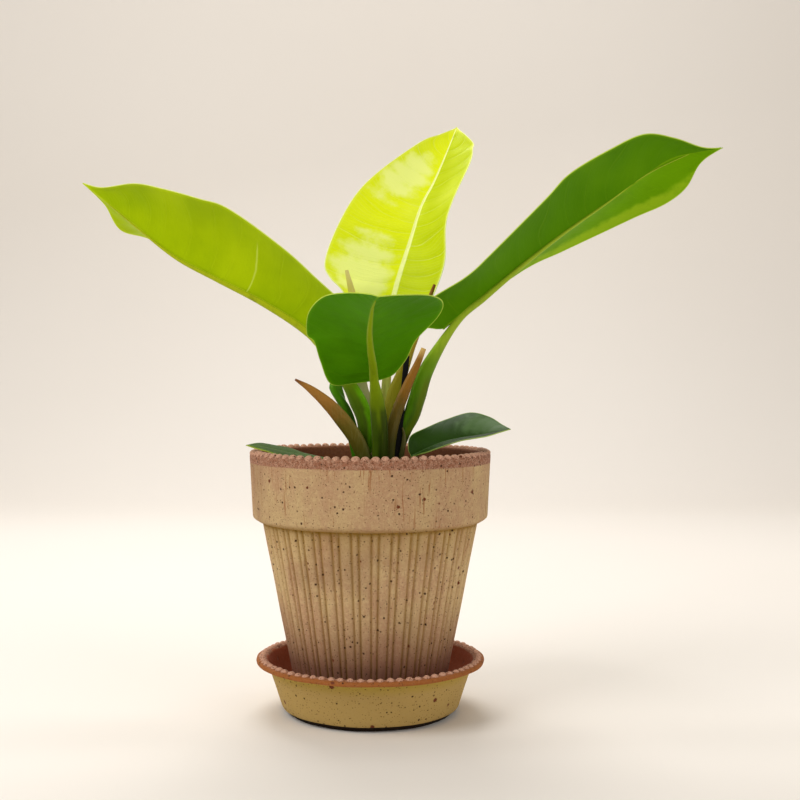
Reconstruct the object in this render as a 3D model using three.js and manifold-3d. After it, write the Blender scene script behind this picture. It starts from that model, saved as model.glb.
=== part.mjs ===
// A potted moonlight philodendron: pot, saucer, soil, crown, leaves, sheaths and stake.
// Millimetres, +Z up. The origin is the centre of the saucer's flat underside.
import * as THREE from 'three';
import { mergeVertices } from 'three/addons/utils/BufferGeometryUtils.js';
import Module from 'manifold-3d';

const wasm = await Module();
wasm.setup();

// Driving dimensions
const GAP = 0.3; // between pieces that touch

const FOOT_RADIUS = 61;
const FOOT_HEIGHT = 3.5;
const SAUCER_BASE_RADIUS = 66;
const SAUCER_WALL_TOP_RADIUS = 77;
const SAUCER_LIP_RADIUS = 85;
const SAUCER_LIP_HEIGHT = 39.6;
const SAUCER_LIP_THICKNESS = 2.7;
const SAUCER_INNER_TOP_RADIUS = 76.5;
const SAUCER_INNER_BASE_RADIUS = 58;
const SAUCER_FLOOR_HEIGHT = 9;
const SAUCER_BEADS = 74;
const SAUCER_BEAD_INSET = 3.6;

const POT_BASE_HEIGHT = SAUCER_FLOOR_HEIGHT + GAP;
const POT_BASE_RADIUS = 54.4;
const POT_TAPER = 0.196; // growth of the radius for each millimetre of height
const POT_FLOOR_THICKNESS = 9;
const POT_WALL = 7.5;
const COLLAR_BOTTOM_HEIGHT = 141.5;
const COLLAR_BOTTOM_RADIUS = 81.5;
const COLLAR_CORNER_HEIGHT = 145.5;
const COLLAR_CORNER_RADIUS = 87.4;
const RIM_RADIUS = 90;
const RIM_HEIGHT = 192.6;
const RIM_WIDTH = 8;
const RIM_DEPTH = 6; // height of the upright inner face of the rim
const RIM_BEADS = 80;
const RIM_BEAD_INSET = 3.2;
const FLUTES = 35;
const FLUTE_DEPTH = 1.3;
const DRAIN_RADIUS = 9;

const BEAD_WIDTH = 6.2;
const BEAD_HEIGHT = 2.2;
const BEAD_SIDES = 4;
const RING_START = 0.3; // place of the first corner of a ring, in sectors, so that none lies on an axis

const SOIL_HEIGHT = 174;
const SOIL_LUMPS = 1.2;

const CROWN_CENTRE = [7, 0];
const CROWN_TOP_RADIUS = 6;
const CROWN_RADIUS = 16;
const CROWN_TOP_HEIGHT = 196;
const CROWN_HEIGHT = 177;
const ROOT_RADIUS = 9;
const ROOT_HEIGHT = 118;

const STAKE_WIDTH = 4.2;
const STAKE_THICKNESS = 2.4;
const STAKE_TOP = [27.5, 3, 264.5];
const STAKE_FOOT = [14.4, -15, 130];

const BLADE_THICKNESS = 0.8;
const BLADE_END_WIDTH = 1.2;
const MIDRIB_WIDTH = 8;
const PETIOLE_REACH = 0.06; // share of the midrib that the petiole runs along

const STALK_SIDES = 8;
const STALK_ROWS = 8;

const vec = (x, y, z) => new THREE.Vector3(x, y, z);
const mix = THREE.MathUtils.lerp;

// Closed mesh from a list of points and a list of triangles
function meshOf(points, triangles) {
  const geometry = new THREE.BufferGeometry();
  const numbers = points.flatMap((p) => [p.x, p.y, p.z]);
  geometry.setAttribute('position', new THREE.Float32BufferAttribute(numbers, 3));
  geometry.setIndex(triangles.flat());
  return geometry;
}

function toManifold(geometry) {
  const plain = geometry.clone();
  plain.deleteAttribute('normal');
  plain.deleteAttribute('uv');
  const merged = mergeVertices(plain, 1e-4);
  return new wasm.Manifold(
    new wasm.Mesh({
      numProp: 3,
      vertProperties: new Float32Array(merged.getAttribute('position').array),
      triVerts: new Uint32Array(merged.getIndex().array),
    }),
  );
}

function toGeometry(manifold) {
  const mesh = manifold.getMesh();
  const geometry = new THREE.BufferGeometry();
  geometry.setAttribute('position', new THREE.BufferAttribute(new Float32Array(mesh.vertProperties), 3));
  geometry.setIndex(new THREE.BufferAttribute(new Uint32Array(mesh.triVerts), 1));
  return geometry;
}

// Solid of revolution about the Z axis from a closed outline of [radius, height] pairs
function turned(outline, segments) {
  const profile = outline.map(([radius, height]) => new THREE.Vector2(radius, height));
  const seam = (RING_START / segments) * Math.PI * 2;
  return toManifold(new THREE.LatheGeometry(profile, segments).rotateX(Math.PI / 2).rotateZ(seam));
}

// Stack of closed rings, capped at both ends: rings[i][j] is a point, all rings have as many points
function lofted(rings) {
  const count = rings[0].length;
  const points = rings.flat();
  const triangles = [];
  for (let row = 0; row < rings.length - 1; row += 1) {
    for (let column = 0; column < count; column += 1) {
      const next = (column + 1) % count;
      const a = row * count + column;
      const b = row * count + next;
      triangles.push([a, b, b + count], [a, b + count, a + count]);
    }
  }
  const last = (rings.length - 1) * count;
  for (let column = 1; column < count - 1; column += 1) {
    triangles.push([0, column + 1, column], [last, last + column, last + column + 1]);
  }
  return meshOf(points, triangles);
}

// Row of half-sunk domes round a ring
function beadRing(count, radius, height) {
  const outline = [
    [0, -1],
    [BEAD_WIDTH / 2, -1],
    [BEAD_WIDTH * 0.42, BEAD_HEIGHT * 0.6],
    [0, BEAD_HEIGHT],
  ];
  const profile = outline.map(([across, up]) => new THREE.Vector2(across, up));
  const dome = new THREE.LatheGeometry(profile, BEAD_SIDES).rotateX(Math.PI / 2);
  dome.rotateZ(Math.PI / BEAD_SIDES).translate(radius, 0, height);
  const beads = [];
  for (let index = 0; index < count; index += 1) {
    const angle = ((index + 0.5 + RING_START) / count) * Math.PI * 2;
    beads.push(toManifold(dome.clone().rotateZ(angle)));
  }
  return wasm.Manifold.union(beads);
}

function saucerSolid() {
  const lipUnder = SAUCER_LIP_HEIGHT - SAUCER_LIP_THICKNESS;
  const body = turned(
    [
      [0, 0],
      [FOOT_RADIUS, 0],
      [FOOT_RADIUS + 0.8, FOOT_HEIGHT],
      [SAUCER_BASE_RADIUS - 1.5, FOOT_HEIGHT + 0.3],
      [SAUCER_BASE_RADIUS, FOOT_HEIGHT + 2],
      [SAUCER_WALL_TOP_RADIUS, lipUnder - 0.8],
      [SAUCER_LIP_RADIUS, lipUnder],
      [SAUCER_LIP_RADIUS, SAUCER_LIP_HEIGHT],
      [SAUCER_INNER_TOP_RADIUS + 2.5, SAUCER_LIP_HEIGHT + 1],
      [SAUCER_INNER_TOP_RADIUS, SAUCER_LIP_HEIGHT - 0.6],
      [mix(SAUCER_INNER_BASE_RADIUS, SAUCER_INNER_TOP_RADIUS, 0.45), SAUCER_FLOOR_HEIGHT + 8],
      [SAUCER_INNER_BASE_RADIUS, SAUCER_FLOOR_HEIGHT],
      [0, SAUCER_FLOOR_HEIGHT],
    ],
    SAUCER_BEADS,
  );
  return body.add(beadRing(SAUCER_BEADS, SAUCER_LIP_RADIUS - SAUCER_BEAD_INSET, SAUCER_LIP_HEIGHT + 0.6));
}

// One flute of the wall, from share 0 to 1: a narrow rib between two V grooves, then a wide rib
const RIB_STEPS = [
  [0.24, 0],
  [0.32, 1],
  [0.49, 0],
  [0.66, 1],
  [0.74, 0],
];

function flutedRing(height) {
  const radius = POT_BASE_RADIUS + (height - POT_BASE_HEIGHT) * POT_TAPER;
  const ring = [];
  for (let flute = 0; flute < FLUTES; flute += 1) {
    for (const [share, depth] of RIB_STEPS) {
      const angle = ((flute + share) / FLUTES) * Math.PI * 2;
      const here = radius - depth * FLUTE_DEPTH;
      ring.push(vec(Math.cos(angle) * here, Math.sin(angle) * here, height));
    }
  }
  return ring;
}

const innerRadius = (height) => POT_BASE_RADIUS + (height - POT_BASE_HEIGHT) * POT_TAPER - POT_WALL;

function potSolid() {
  const floorTop = POT_BASE_HEIGHT + POT_FLOOR_THICKNESS;
  const fluted = toManifold(lofted([flutedRing(POT_BASE_HEIGHT), flutedRing(COLLAR_BOTTOM_HEIGHT + 2)]));
  const collar = turned(
    [
      [0, COLLAR_BOTTOM_HEIGHT],
      [COLLAR_BOTTOM_RADIUS, COLLAR_BOTTOM_HEIGHT],
      [COLLAR_CORNER_RADIUS - 0.8, COLLAR_CORNER_HEIGHT - 1.6],
      [COLLAR_CORNER_RADIUS, COLLAR_CORNER_HEIGHT],
      [RIM_RADIUS, RIM_HEIGHT - 1],
      [RIM_RADIUS - 0.5, RIM_HEIGHT],
      [0, RIM_HEIGHT],
    ],
    RIM_BEADS,
  );
  const hollow = turned(
    [
      [0, floorTop],
      [innerRadius(floorTop), floorTop],
      [innerRadius(COLLAR_BOTTOM_HEIGHT), COLLAR_BOTTOM_HEIGHT],
      [RIM_RADIUS - RIM_WIDTH, RIM_HEIGHT - RIM_DEPTH],
      [RIM_RADIUS - RIM_WIDTH, RIM_HEIGHT + 5],
      [0, RIM_HEIGHT + 5],
    ],
    RIM_BEADS,
  );
  const drain = turned(
    [
      [0, POT_BASE_HEIGHT - 1],
      [DRAIN_RADIUS, POT_BASE_HEIGHT - 1],
      [DRAIN_RADIUS, floorTop + 1],
      [0, floorTop + 1],
    ],
    24,
  );
  const beads = beadRing(RIM_BEADS, RIM_RADIUS - RIM_BEAD_INSET, RIM_HEIGHT);
  return fluted.add(collar).subtract(hollow).subtract(drain).add(beads);
}

// The crown, or the hole that it leaves when it is grown by a clearance
function crownSolid(grow) {
  const [x, y] = CROWN_CENTRE;
  const outline = [
    [0, ROOT_HEIGHT - grow],
    [ROOT_RADIUS + grow, ROOT_HEIGHT - grow],
    [ROOT_RADIUS + grow, SOIL_HEIGHT - 14],
    [CROWN_RADIUS + grow, SOIL_HEIGHT - 6],
    [CROWN_RADIUS + grow, CROWN_HEIGHT],
    [CROWN_TOP_RADIUS + grow, CROWN_TOP_HEIGHT - 4 + grow],
    [0, CROWN_TOP_HEIGHT + grow],
  ];
  return turned(outline, 20).translate([x, y, 0]);
}

function stakeSolid(grow) {
  const [top, foot] = [vec(...STAKE_TOP), vec(...STAKE_FOOT)];
  const across = vec(1, 0, 0).multiplyScalar(STAKE_WIDTH / 2 + grow);
  const deep = vec(0, 1, 0).multiplyScalar(STAKE_THICKNESS / 2 + grow);
  const ends = [foot.clone().setZ(foot.z - grow), top.clone().setZ(top.z + grow)];
  const corners = [
    [-1, -1],
    [1, -1],
    [1, 1],
    [-1, 1],
  ];
  const rings = ends.map((end) =>
    corners.map(([side, front]) => end.clone().addScaledVector(across, side).addScaledVector(deep, front)),
  );
  return toManifold(lofted(rings));
}

// Soil that fills the pot, with a slightly lumpy top
function soilSolid() {
  const floorTop = POT_BASE_HEIGHT + POT_FLOOR_THICKNESS + GAP;
  const flare = RIM_RADIUS - RIM_WIDTH - innerRadius(COLLAR_BOTTOM_HEIGHT);
  const filled = (SOIL_HEIGHT - COLLAR_BOTTOM_HEIGHT) / (RIM_HEIGHT - RIM_DEPTH - COLLAR_BOTTOM_HEIGHT);
  const topRadius = innerRadius(COLLAR_BOTTOM_HEIGHT) + flare * filled;
  const wall = [
    [innerRadius(floorTop), floorTop],
    [innerRadius(COLLAR_BOTTOM_HEIGHT), COLLAR_BOTTOM_HEIGHT],
    [topRadius, SOIL_HEIGHT],
  ];
  const segments = 30;
  const ringAt = (radius, heightAt) => {
    const ring = [];
    for (let index = 0; index < segments; index += 1) {
      const angle = (index / segments) * Math.PI * 2;
      const [x, y] = [Math.cos(angle) * radius, Math.sin(angle) * radius];
      ring.push(vec(x, y, heightAt(x, y)));
    }
    return ring;
  };
  const lumps = (x, y) => SOIL_HEIGHT + SOIL_LUMPS * (Math.sin(x * 0.21) * Math.cos(y * 0.27) - 1);
  const rings = wall.map(([radius, height]) => ringAt(radius - GAP, () => height));
  for (const share of [0.86, 0.7, 0.52, 0.34]) rings.push(ringAt(topRadius * share, lumps));
  return toManifold(lofted(rings)).subtract(crownSolid(GAP)).subtract(stakeSolid(GAP));
}

// Uniform spline through the points
function splineOf(points) {
  return new THREE.CatmullRomCurve3(points, false, 'catmullrom', 0.5);
}

// Value at share t of a list of evenly spaced values
function valueAt(list, t) {
  const place = Math.min(Math.max(t, 0), 1) * (list.length - 1);
  const index = Math.min(Math.floor(place), list.length - 2);
  return mix(list[index], list[index + 1], place - index);
}

// Midrib and both margins of a leaf as splines from the base to the tip
function leafCurves(leaf) {
  const midrib = leaf.midrib.map((p) => vec(...p));
  const [base, tip] = [midrib[0], midrib[midrib.length - 1]];
  const marginOf = (side) => {
    const points = side.margin.map((p) => vec(...p));
    const last = points[points.length - 1];
    const start = points[0].clone().sub(base).setLength(BLADE_END_WIDTH / 2);
    const end = last.clone().sub(tip).setLength(BLADE_END_WIDTH / 2);
    return splineOf([start.add(base), ...points, end.add(tip)]);
  };
  return { midrib: splineOf(midrib), left: marginOf(leaf.left), right: marginOf(leaf.right) };
}

// Point of the blade's upper face: t runs along the midrib, v from the right margin (-1) to the left (1)
function bladePoint(leaf, curves, t, v) {
  const side = v >= 0 ? 'left' : 'right';
  const outward = Math.abs(v);
  const middle = curves.midrib.getPointAt(t);
  const chord = curves[side].getPointAt(t).sub(middle);
  const normal = curves.midrib.getTangentAt(t).cross(chord).multiplyScalar(side === 'left' ? 1 : -1);
  normal.addScaledVector(vec(...leaf.up), chord.length() * 0.2).normalize();
  const bulge = leaf[side].bulge * chord.length() * 4 * outward * (1 - outward);
  return middle.addScaledVector(chord, outward).addScaledVector(normal, bulge);
}

function bladeNormal(leaf, curves, t, v) {
  const step = 0.01;
  const [before, after] = [Math.max(t - step, 0), Math.min(t + step, 1)];
  const [right, left] = [Math.max(v - step, -1), Math.min(v + step, 1)];
  const along = bladePoint(leaf, curves, after, v).sub(bladePoint(leaf, curves, before, v));
  const across = bladePoint(leaf, curves, t, left).sub(bladePoint(leaf, curves, t, right));
  return along.cross(across).normalize();
}

// Closed blade: upper face, lower face with the midrib standing out, and the edge between them
function bladeGeometry(leaf, curves) {
  const { rows, columns } = leaf.grid;
  const tops = [];
  const bottoms = [];
  for (let row = 0; row <= rows; row += 1) {
    const share = row / rows;
    const t = share - 0.08 * Math.sin(2 * Math.PI * share);
    const middle = curves.midrib.getPointAt(t);
    const ribHalf = (MIDRIB_WIDTH / 2) * mix(1, 0.3, t);
    const [rightRib, leftRib] = ['right', 'left'].map((side) => {
      const width = curves[side].getPointAt(t).distanceTo(middle);
      return Math.min(ribHalf / width, columns[0] * 0.8);
    });
    const outer = [...columns, 1];
    const across = [...outer.map((v) => -v).reverse(), -rightRib, 0, leftRib, ...outer];
    for (const v of across) {
      const top = bladePoint(leaf, curves, t, v);
      const rib = v === 0 ? valueAt(leaf.ribDepths, t) : 0;
      tops.push(top);
      const normal = bladeNormal(leaf, curves, t, v);
      bottoms.push(top.clone().addScaledVector(normal, -(BLADE_THICKNESS + rib)));
    }
  }
  const width = columns.length * 2 + 5;
  const offset = tops.length;
  const triangles = [];
  for (let row = 0; row < rows; row += 1) {
    for (let column = 0; column < width - 1; column += 1) {
      const a = row * width + column;
      const [b, c, d] = [a + 1, a + width, a + width + 1];
      triangles.push([a, d, b], [a, c, d]);
      triangles.push([a + offset, b + offset, d + offset], [a + offset, d + offset, c + offset]);
    }
  }
  const rim = [];
  for (let column = 0; column < width - 1; column += 1) rim.push(column);
  for (let row = 0; row < rows; row += 1) rim.push(row * width + width - 1);
  for (let column = width - 1; column > 0; column -= 1) rim.push(rows * width + column);
  for (let row = rows; row > 0; row -= 1) rim.push(row * width);
  rim.forEach((a, index) => {
    const b = rim[(index + 1) % rim.length];
    triangles.push([a, b, b + offset], [a, b + offset, a + offset]);
  });
  return meshOf([...tops, ...bottoms], triangles);
}

// Stalk of oval section along a spline; `up` is the way that its flat side looks
function stalkSolid(stalk, grow) {
  const spline = splineOf(stalk.points.map((p) => vec(...p)));
  const rings = [];
  for (let row = 0; row <= STALK_ROWS; row += 1) {
    const t = row / STALK_ROWS;
    const along = spline.getTangentAt(t);
    const up = vec(...stalk.up[0]).lerp(vec(...stalk.up[1]), t);
    const upward = up.addScaledVector(along, -up.dot(along)).normalize();
    const left = upward.clone().cross(along);
    const halfWidth = valueAt(stalk.widths, t) / 2 + grow;
    const halfDepth = valueAt(stalk.depths, t) / 2 + grow;
    const ring = [];
    for (let side = 0; side < STALK_SIDES; side += 1) {
      const angle = ((side + 0.5) / STALK_SIDES) * Math.PI * 2;
      const point = spline.getPointAt(t);
      point.addScaledVector(left, Math.cos(angle) * halfWidth);
      ring.push(point.addScaledVector(upward, Math.sin(angle) * halfDepth));
    }
    rings.push(ring);
  }
  return toManifold(lofted(rings));
}

// The petiole ends under the blade, where it thins into the midrib
function petioleOf(leaf, curves) {
  const { points, up, widths, depths } = leaf.petiole;
  const normal = bladeNormal(leaf, curves, PETIOLE_REACH, 0);
  const end = curves.midrib.getPointAt(PETIOLE_REACH);
  end.addScaledVector(normal, -depths[depths.length - 1] * 0.4);
  return { points: [...points, end.toArray()], up: [up, leaf.up], widths, depths };
}

const LEAVES = [
  {
    name: 'leaf_front',
    colour: 0x3f8003,
    petiole: {
      points: [[6, -17, 176], [7, -18, 191], [7, -19, 210], [5, -22, 230]],
      up: [0, 1, 0.2],
      widths: [10.5, 10.5, 11.5, 11, 10],
      depths: [8, 8, 7],
    },
    up: [0, 0.5, 0.85],
    midrib: [[2, -25, 246], [1, -45, 261], [-1, -68, 275], [0, -95, 289], [2, -122, 297], [5, -148, 300]],
    left: {
      margin: [
        [8, -22, 247], [17, -22, 251], [26, -31, 262], [33, -45, 276], [47, -64, 291], [50, -80, 300],
        [41, -98, 304], [23, -124, 303],
      ],
      bulge: 0.06,
    },
    right: {
      margin: [
        [-13, -21, 244], [-29, -22, 244], [-36, -32, 260], [-40, -49, 274], [-45, -52, 279],
        [-43, -72, 293], [-32, -96, 303], [-16, -122, 304], [-1, -143, 302],
      ],
      bulge: 0.06,
    },
    ribDepths: [6, 3.5, 1.5, 0.3],
    grid: { rows: 14, columns: [0.35, 0.7] },
  },
  {
    name: 'leaf_left',
    colour: 0x86ad08,
    petiole: {
      points: [[-5, -8, 178], [-3, -8, 206], [-4, -7, 218], [-9, -6, 230], [-17, -5, 245]],
      up: [0.2, 1, 0.2],
      widths: [7, 9, 12.5, 13, 10],
      depths: [5, 6, 6],
    },
    up: [0.2, 0.45, 0.85],
    midrib: [
      [-27, -5, 264], [-49, -3, 285], [-84, 0, 307], [-128, 3, 329], [-154, 5, 344], [-182, 8, 367],
      [-218, 12, 396],
    ],
    left: {
      margin: [
        [-17, -12, 269], [-13, -17, 287], [-19, -19, 302], [-40, -21, 322], [-64, -22, 344],
        [-103, -22, 372], [-125, -20, 380], [-152, -14, 388], [-175, -7, 393], [-202, 6, 392],
      ],
      bulge: 0.08,
    },
    right: {
      margin: [
        [-40, 8, 271], [-52, 28, 283], [-75, 42, 300], [-102, 47, 317], [-122, 45, 326],
        [-149, 39, 342], [-171, 32, 356], [-192, 24, 362], [-202, 15, 380],
      ],
      bulge: 0.06,
    },
    ribDepths: [6.5, 4, 2, 0.3],
    grid: { rows: 14, columns: [0.35, 0.7] },
  },
  {
    name: 'leaf_right',
    colour: 0x4b7f04,
    petiole: {
      points: [[18, 0, 177], [19, -1, 192], [25, 0, 209], [31, 1, 220], [35, 2, 232], [44, 5, 257]],
      up: [-0.2, 0.9, 0.3],
      widths: [9.5, 11.5, 12, 12, 11],
      depths: [8, 8, 7],
    },
    up: [-0.4, 0.55, 0.7],
    midrib: [
      [55, 8, 285], [81, 9, 307], [119, 10, 338], [154, 12, 364], [194, 14, 391], [225, 17, 413],
      [245, 20, 420], [271, 24, 425],
    ],
    left: {
      margin: [
        [49, 14, 287], [53, 28, 298], [77, 38, 304], [121, 42, 333], [149, 42, 346], [172, 40, 357],
        [204, 36, 372], [229, 32, 383], [244, 28, 395], [254, 24, 413],
      ],
      bulge: 0.06,
    },
    right: {
      margin: [
        [48, 4, 285], [38, -3, 288], [40, -9, 303], [70, -16, 322], [88, -18, 338], [128, -19, 379],
        [147, -18, 399], [179, -13, 418], [205, -5, 430], [229, 4, 429], [253, 15, 424],
      ],
      bulge: 0.06,
    },
    ribDepths: [6, 3.5, 1.5, 0.3],
    grid: { rows: 14, columns: [0.35, 0.7] },
  },
  {
    name: 'leaf_top',
    colour: 0xd6e51c,
    petiole: {
      points: [[6, 16, 176], [9, 16, 204], [11, 18, 227], [13, 22, 254]],
      up: [0, -1, 0.2],
      widths: [9, 9, 7, 6],
      depths: [7, 7, 5],
    },
    up: [-0.1, -0.9, 0.4],
    midrib: [
      [13, 30, 279], [19, 38, 315], [32, 53, 357], [41, 64, 385], [52, 75, 407], [63, 88, 433],
      [72, 103, 456],
    ],
    left: {
      margin: [
        [4, 26, 270], [-8, 22, 290], [-21, 21, 314], [-31, 23, 325], [-35, 26, 337], [-27, 36, 363],
        [-12, 50, 392], [8, 62, 414], [41, 81, 440], [57, 91, 448],
      ],
      bulge: -0.04,
    },
    right: {
      margin: [
        [22, 28, 271], [38, 23, 291], [50, 22, 315], [57, 22, 338], [58, 27, 366], [64, 36, 386],
        [80, 63, 420], [83, 73, 433], [84, 78, 438], [80, 86, 445],
      ],
      bulge: -0.04,
    },
    ribDepths: [3, 2, 1, 0.3],
    grid: { rows: 14, columns: [0.35, 0.7] },
  },
  {
    name: 'leaf_behind',
    colour: 0x2f6a06,
    petiole: {
      points: [[-7, 4, 177], [-11, 4, 197], [-15, 5, 212], [-20, 5, 227], [-26, 6, 241]],
      up: [0.3, 0.9, 0.2],
      widths: [8, 8.5, 10, 10],
      depths: [6, 7, 7],
    },
    up: [0.1, -0.95, 0.2],
    midrib: [[-26, 7, 250], [-23, 10, 262], [-20, 13, 275], [-20, 15, 286]],
    left: { margin: [[-30, 8, 256], [-27, 9, 266], [-24, 12, 277]], bulge: 0 },
    right: { margin: [[-21, 8, 256], [-17, 11, 266], [-17, 14, 277]], bulge: 0 },
    ribDepths: [2, 0.5],
    grid: { rows: 8, columns: [0.55] },
  },
  {
    name: 'leaf_small_right',
    colour: 0x2f6410,
    petiole: {
      points: [[27, -15, 176], [28, -14, 182]],
      up: [0, -0.9, 0.3],
      widths: [6, 5],
      depths: [5, 4],
    },
    up: [0, -0.6, 0.8],
    midrib: [[30, -13, 190], [51, -16, 200], [66, -19, 204], [84, -22, 207], [102, -28, 211]],
    left: {
      margin: [
        [28, -11, 196], [30, -8, 205], [42, -3, 211], [57, 1, 217], [75, 2, 222], [89, -3, 219],
        [97, -14, 214],
      ],
      bulge: 0.05,
    },
    right: {
      margin: [
        [40, -30, 194], [50, -35, 198], [65, -37, 203], [83, -36, 206], [94, -33, 209],
      ],
      bulge: 0.05,
    },
    ribDepths: [2, 0.5],
    grid: { rows: 10, columns: [0.5] },
  },
  {
    name: 'leaf_small_left',
    colour: 0x35660c,
    petiole: {
      points: [[-11, -6, 178], [-18, -12, 183]],
      up: [-0.3, -0.2, 0.9],
      widths: [6, 5],
      depths: [5, 4],
    },
    up: [0, -0.2, 0.98],
    midrib: [[-26, -18, 187], [-51, -20, 192], [-66, -21, 195], [-79, -22, 198], [-91, -22, 199]],
    left: {
      margin: [
        [-33, -27, 187], [-51, -33, 189], [-65, -34, 192], [-75, -32, 195], [-84, -27, 197],
      ],
      bulge: 0.05,
    },
    right: {
      margin: [
        [-34, -9, 189], [-49, -5, 192], [-60, -3, 196], [-71, -4, 198], [-82, -10, 200],
      ],
      bulge: 0.05,
    },
    ribDepths: [1, 0.3],
    grid: { rows: 10, columns: [0.5] },
  },
];

const SHEATHS = [
  {
    name: 'sheath_front',
    colour: 0x8a6a1c,
    points: [
      [-4, -15, 177], [-4, -15, 187], [-8, -16, 198], [-13, -17, 207], [-22, -18, 219],
      [-32, -20, 230], [-44, -21, 240], [-55, -22, 247],
    ],
    up: [[0.3, 1, 0.2], [0.3, 1, 0.3]],
    widths: [11, 12, 12, 12, 10, 6.5, 1.6],
    depths: [7, 7, 6, 4, 1.4],
  },
  {
    name: 'sheath_right',
    colour: 0x7a4a14,
    points: [
      [14, -12, 177], [14, -12, 190], [16, -12, 208], [20, -10, 223], [28, -7, 243], [35, -5, 258],
      [40, -4, 270],
    ],
    up: [[0, 1, 0], [0, 1, 0.2]],
    widths: [8, 8, 8.5, 8, 6, 3.8],
    depths: [5, 5, 4, 2.4],
  },
  {
    name: 'sheath_tall',
    colour: 0x8f7a1e,
    points: [
      [18, 9, 177], [15, 7, 201], [16, 7, 220], [18, 9, 235], [24, 10, 251], [30, 12, 268],
      [35, 13, 281], [49, 15, 319],
    ],
    up: [[0, 1, 0], [0, 1, 0.2]],
    widths: [10, 11.5, 12, 9, 6, 5, 2.2],
    depths: [5, 5, 3.5, 2.2],
  },
  {
    name: 'sheath_pale',
    colour: 0xb7b08a,
    points: [
      [-2, 13, 177], [-1, 13, 201], [-2, 13, 216], [-4, 13, 231], [-7, 14, 243], [-9, 14, 269],
      [-13, 14, 307], [-18, 14, 330],
    ],
    up: [[0, 1, 0], [0, 1, 0.2]],
    widths: [9, 10, 10.5, 9, 8, 7, 2.6],
    depths: [5, 5, 4, 3, 1.6],
  },
  {
    name: 'sheath_short',
    colour: 0x5d5a1c,
    points: [[22, -9, 177], [23, -9, 189], [25, -8, 200], [25, -7, 206], [24, -7, 211]],
    up: [[0, 1, 0], [0, 1, 0]],
    widths: [4, 4, 3.6, 1.2],
    depths: [2.2, 2.2, 1.2],
  },
];

const material = (colour, roughness) =>
  new THREE.MeshStandardMaterial({ color: colour, roughness, metalness: 0 });

const plant = new THREE.Group();

function place(name, manifold, colour, roughness) {
  const mesh = new THREE.Mesh(toGeometry(manifold), material(colour, roughness));
  mesh.name = name;
  plant.add(mesh);
}

// Pieces at the crown press against each other: a later one gives way to those before it
const taken = [crownSolid(GAP), stakeSolid(GAP)];

function yielding(solid) {
  const inTheWay = taken.filter((other) => solid.intersect(other).volume() > 0);
  const parts = inTheWay.reduce((rest, other) => rest.subtract(other), solid).decompose();
  return parts.reduce((largest, part) => (part.volume() > largest.volume() ? part : largest));
}

place('saucer', saucerSolid(), 0xc8a97e, 0.85);
place('pot', potSolid(), 0xc8a97e, 0.85);
place('soil', soilSolid(), 0x2a1d14, 0.95);
place('crown', crownSolid(0).subtract(stakeSolid(GAP)), 0x4a5a18, 0.7);
place('support_stake', stakeSolid(0), 0x0a0a0a, 0.5);
for (const leaf of LEAVES) {
  const curves = leafCurves(leaf);
  const petiole = petioleOf(leaf, curves);
  const whole = toManifold(bladeGeometry(leaf, curves)).add(stalkSolid(petiole, 0));
  place(leaf.name, yielding(whole), leaf.colour, 0.45);
  taken.push(stalkSolid(petiole, GAP));
}
for (const sheath of SHEATHS) {
  place(sheath.name, yielding(stalkSolid(sheath, 0)), sheath.colour, 0.7);
  taken.push(stalkSolid(sheath, GAP));
}

export default plant;
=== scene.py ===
# The potted moonlight philodendron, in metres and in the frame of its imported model.
import math
import random

import bpy
import numpy as np
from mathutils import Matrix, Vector, noise


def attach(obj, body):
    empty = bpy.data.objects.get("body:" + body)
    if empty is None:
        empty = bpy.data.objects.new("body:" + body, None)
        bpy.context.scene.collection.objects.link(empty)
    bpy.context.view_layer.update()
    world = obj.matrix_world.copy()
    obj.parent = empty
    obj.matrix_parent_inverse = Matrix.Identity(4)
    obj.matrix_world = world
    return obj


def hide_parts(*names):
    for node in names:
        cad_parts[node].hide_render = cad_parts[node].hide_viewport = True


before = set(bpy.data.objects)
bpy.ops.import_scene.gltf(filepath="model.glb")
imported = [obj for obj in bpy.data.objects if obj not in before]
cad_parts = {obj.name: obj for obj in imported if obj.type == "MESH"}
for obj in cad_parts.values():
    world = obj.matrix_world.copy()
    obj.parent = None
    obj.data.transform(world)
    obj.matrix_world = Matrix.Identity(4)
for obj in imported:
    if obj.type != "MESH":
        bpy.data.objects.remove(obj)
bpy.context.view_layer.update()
MM = 0.001


# Saucer: thrown terracotta with a recessed foot, a flared wall under a thin cream slip, and a broad
# lip whose edge is left bare. A row of beads is pressed on round the inner edge of the lip.
# Sizes are in millimetres, and an outline is a list of (radius, height) pairs.
SAUCER_OUTLINE = [
    (0.5, 0), (58, 0), (60.6, 0.3), (61.2, 1), (61.8, 3.4), (64.2, 3.7), (65.4, 4.2), (66.1, 5.4),
    (67.4, 9), (70.4, 18), (73.4, 27), (76, 34), (77.2, 35.9), (79, 36.4), (83.9, 36.9),
    (84.8, 37.2), (85.1, 38.3), (84.8, 39.5), (84.1, 39.9), (80, 40.7), (78.2, 40.6), (77, 39.8),
    (76.2, 38.4), (73.6, 31), (69.4, 22.5), (64.6, 15.5), (60.5, 11.2), (56, 9.4), (40, 9),
    (0.5, 9),
]
SAUCER_INNER_WALL = [(57.5, 9), (60.5, 11.2), (64.6, 15.5), (69.4, 22.5), (73.6, 31), (76.2, 38.4)]
SAUCER_SEGMENTS = 370
SAUCER_INSIDE_FROM = 8
FOOT_TOP = 3.8
LIP_EDGE_RADIUS = 82.5
LIP_EDGE_BOTTOM = 36.5
LIP_EDGE_TOP = 40.4
LIP_TOP = 39.2
UNDER_LIP = 35
WALL_TOP_RADIUS = 75
SAUCER_BEADS = 74
SAUCER_BEAD_RADIUS = 2.8
SAUCER_BEAD_RING = 80.4
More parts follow.
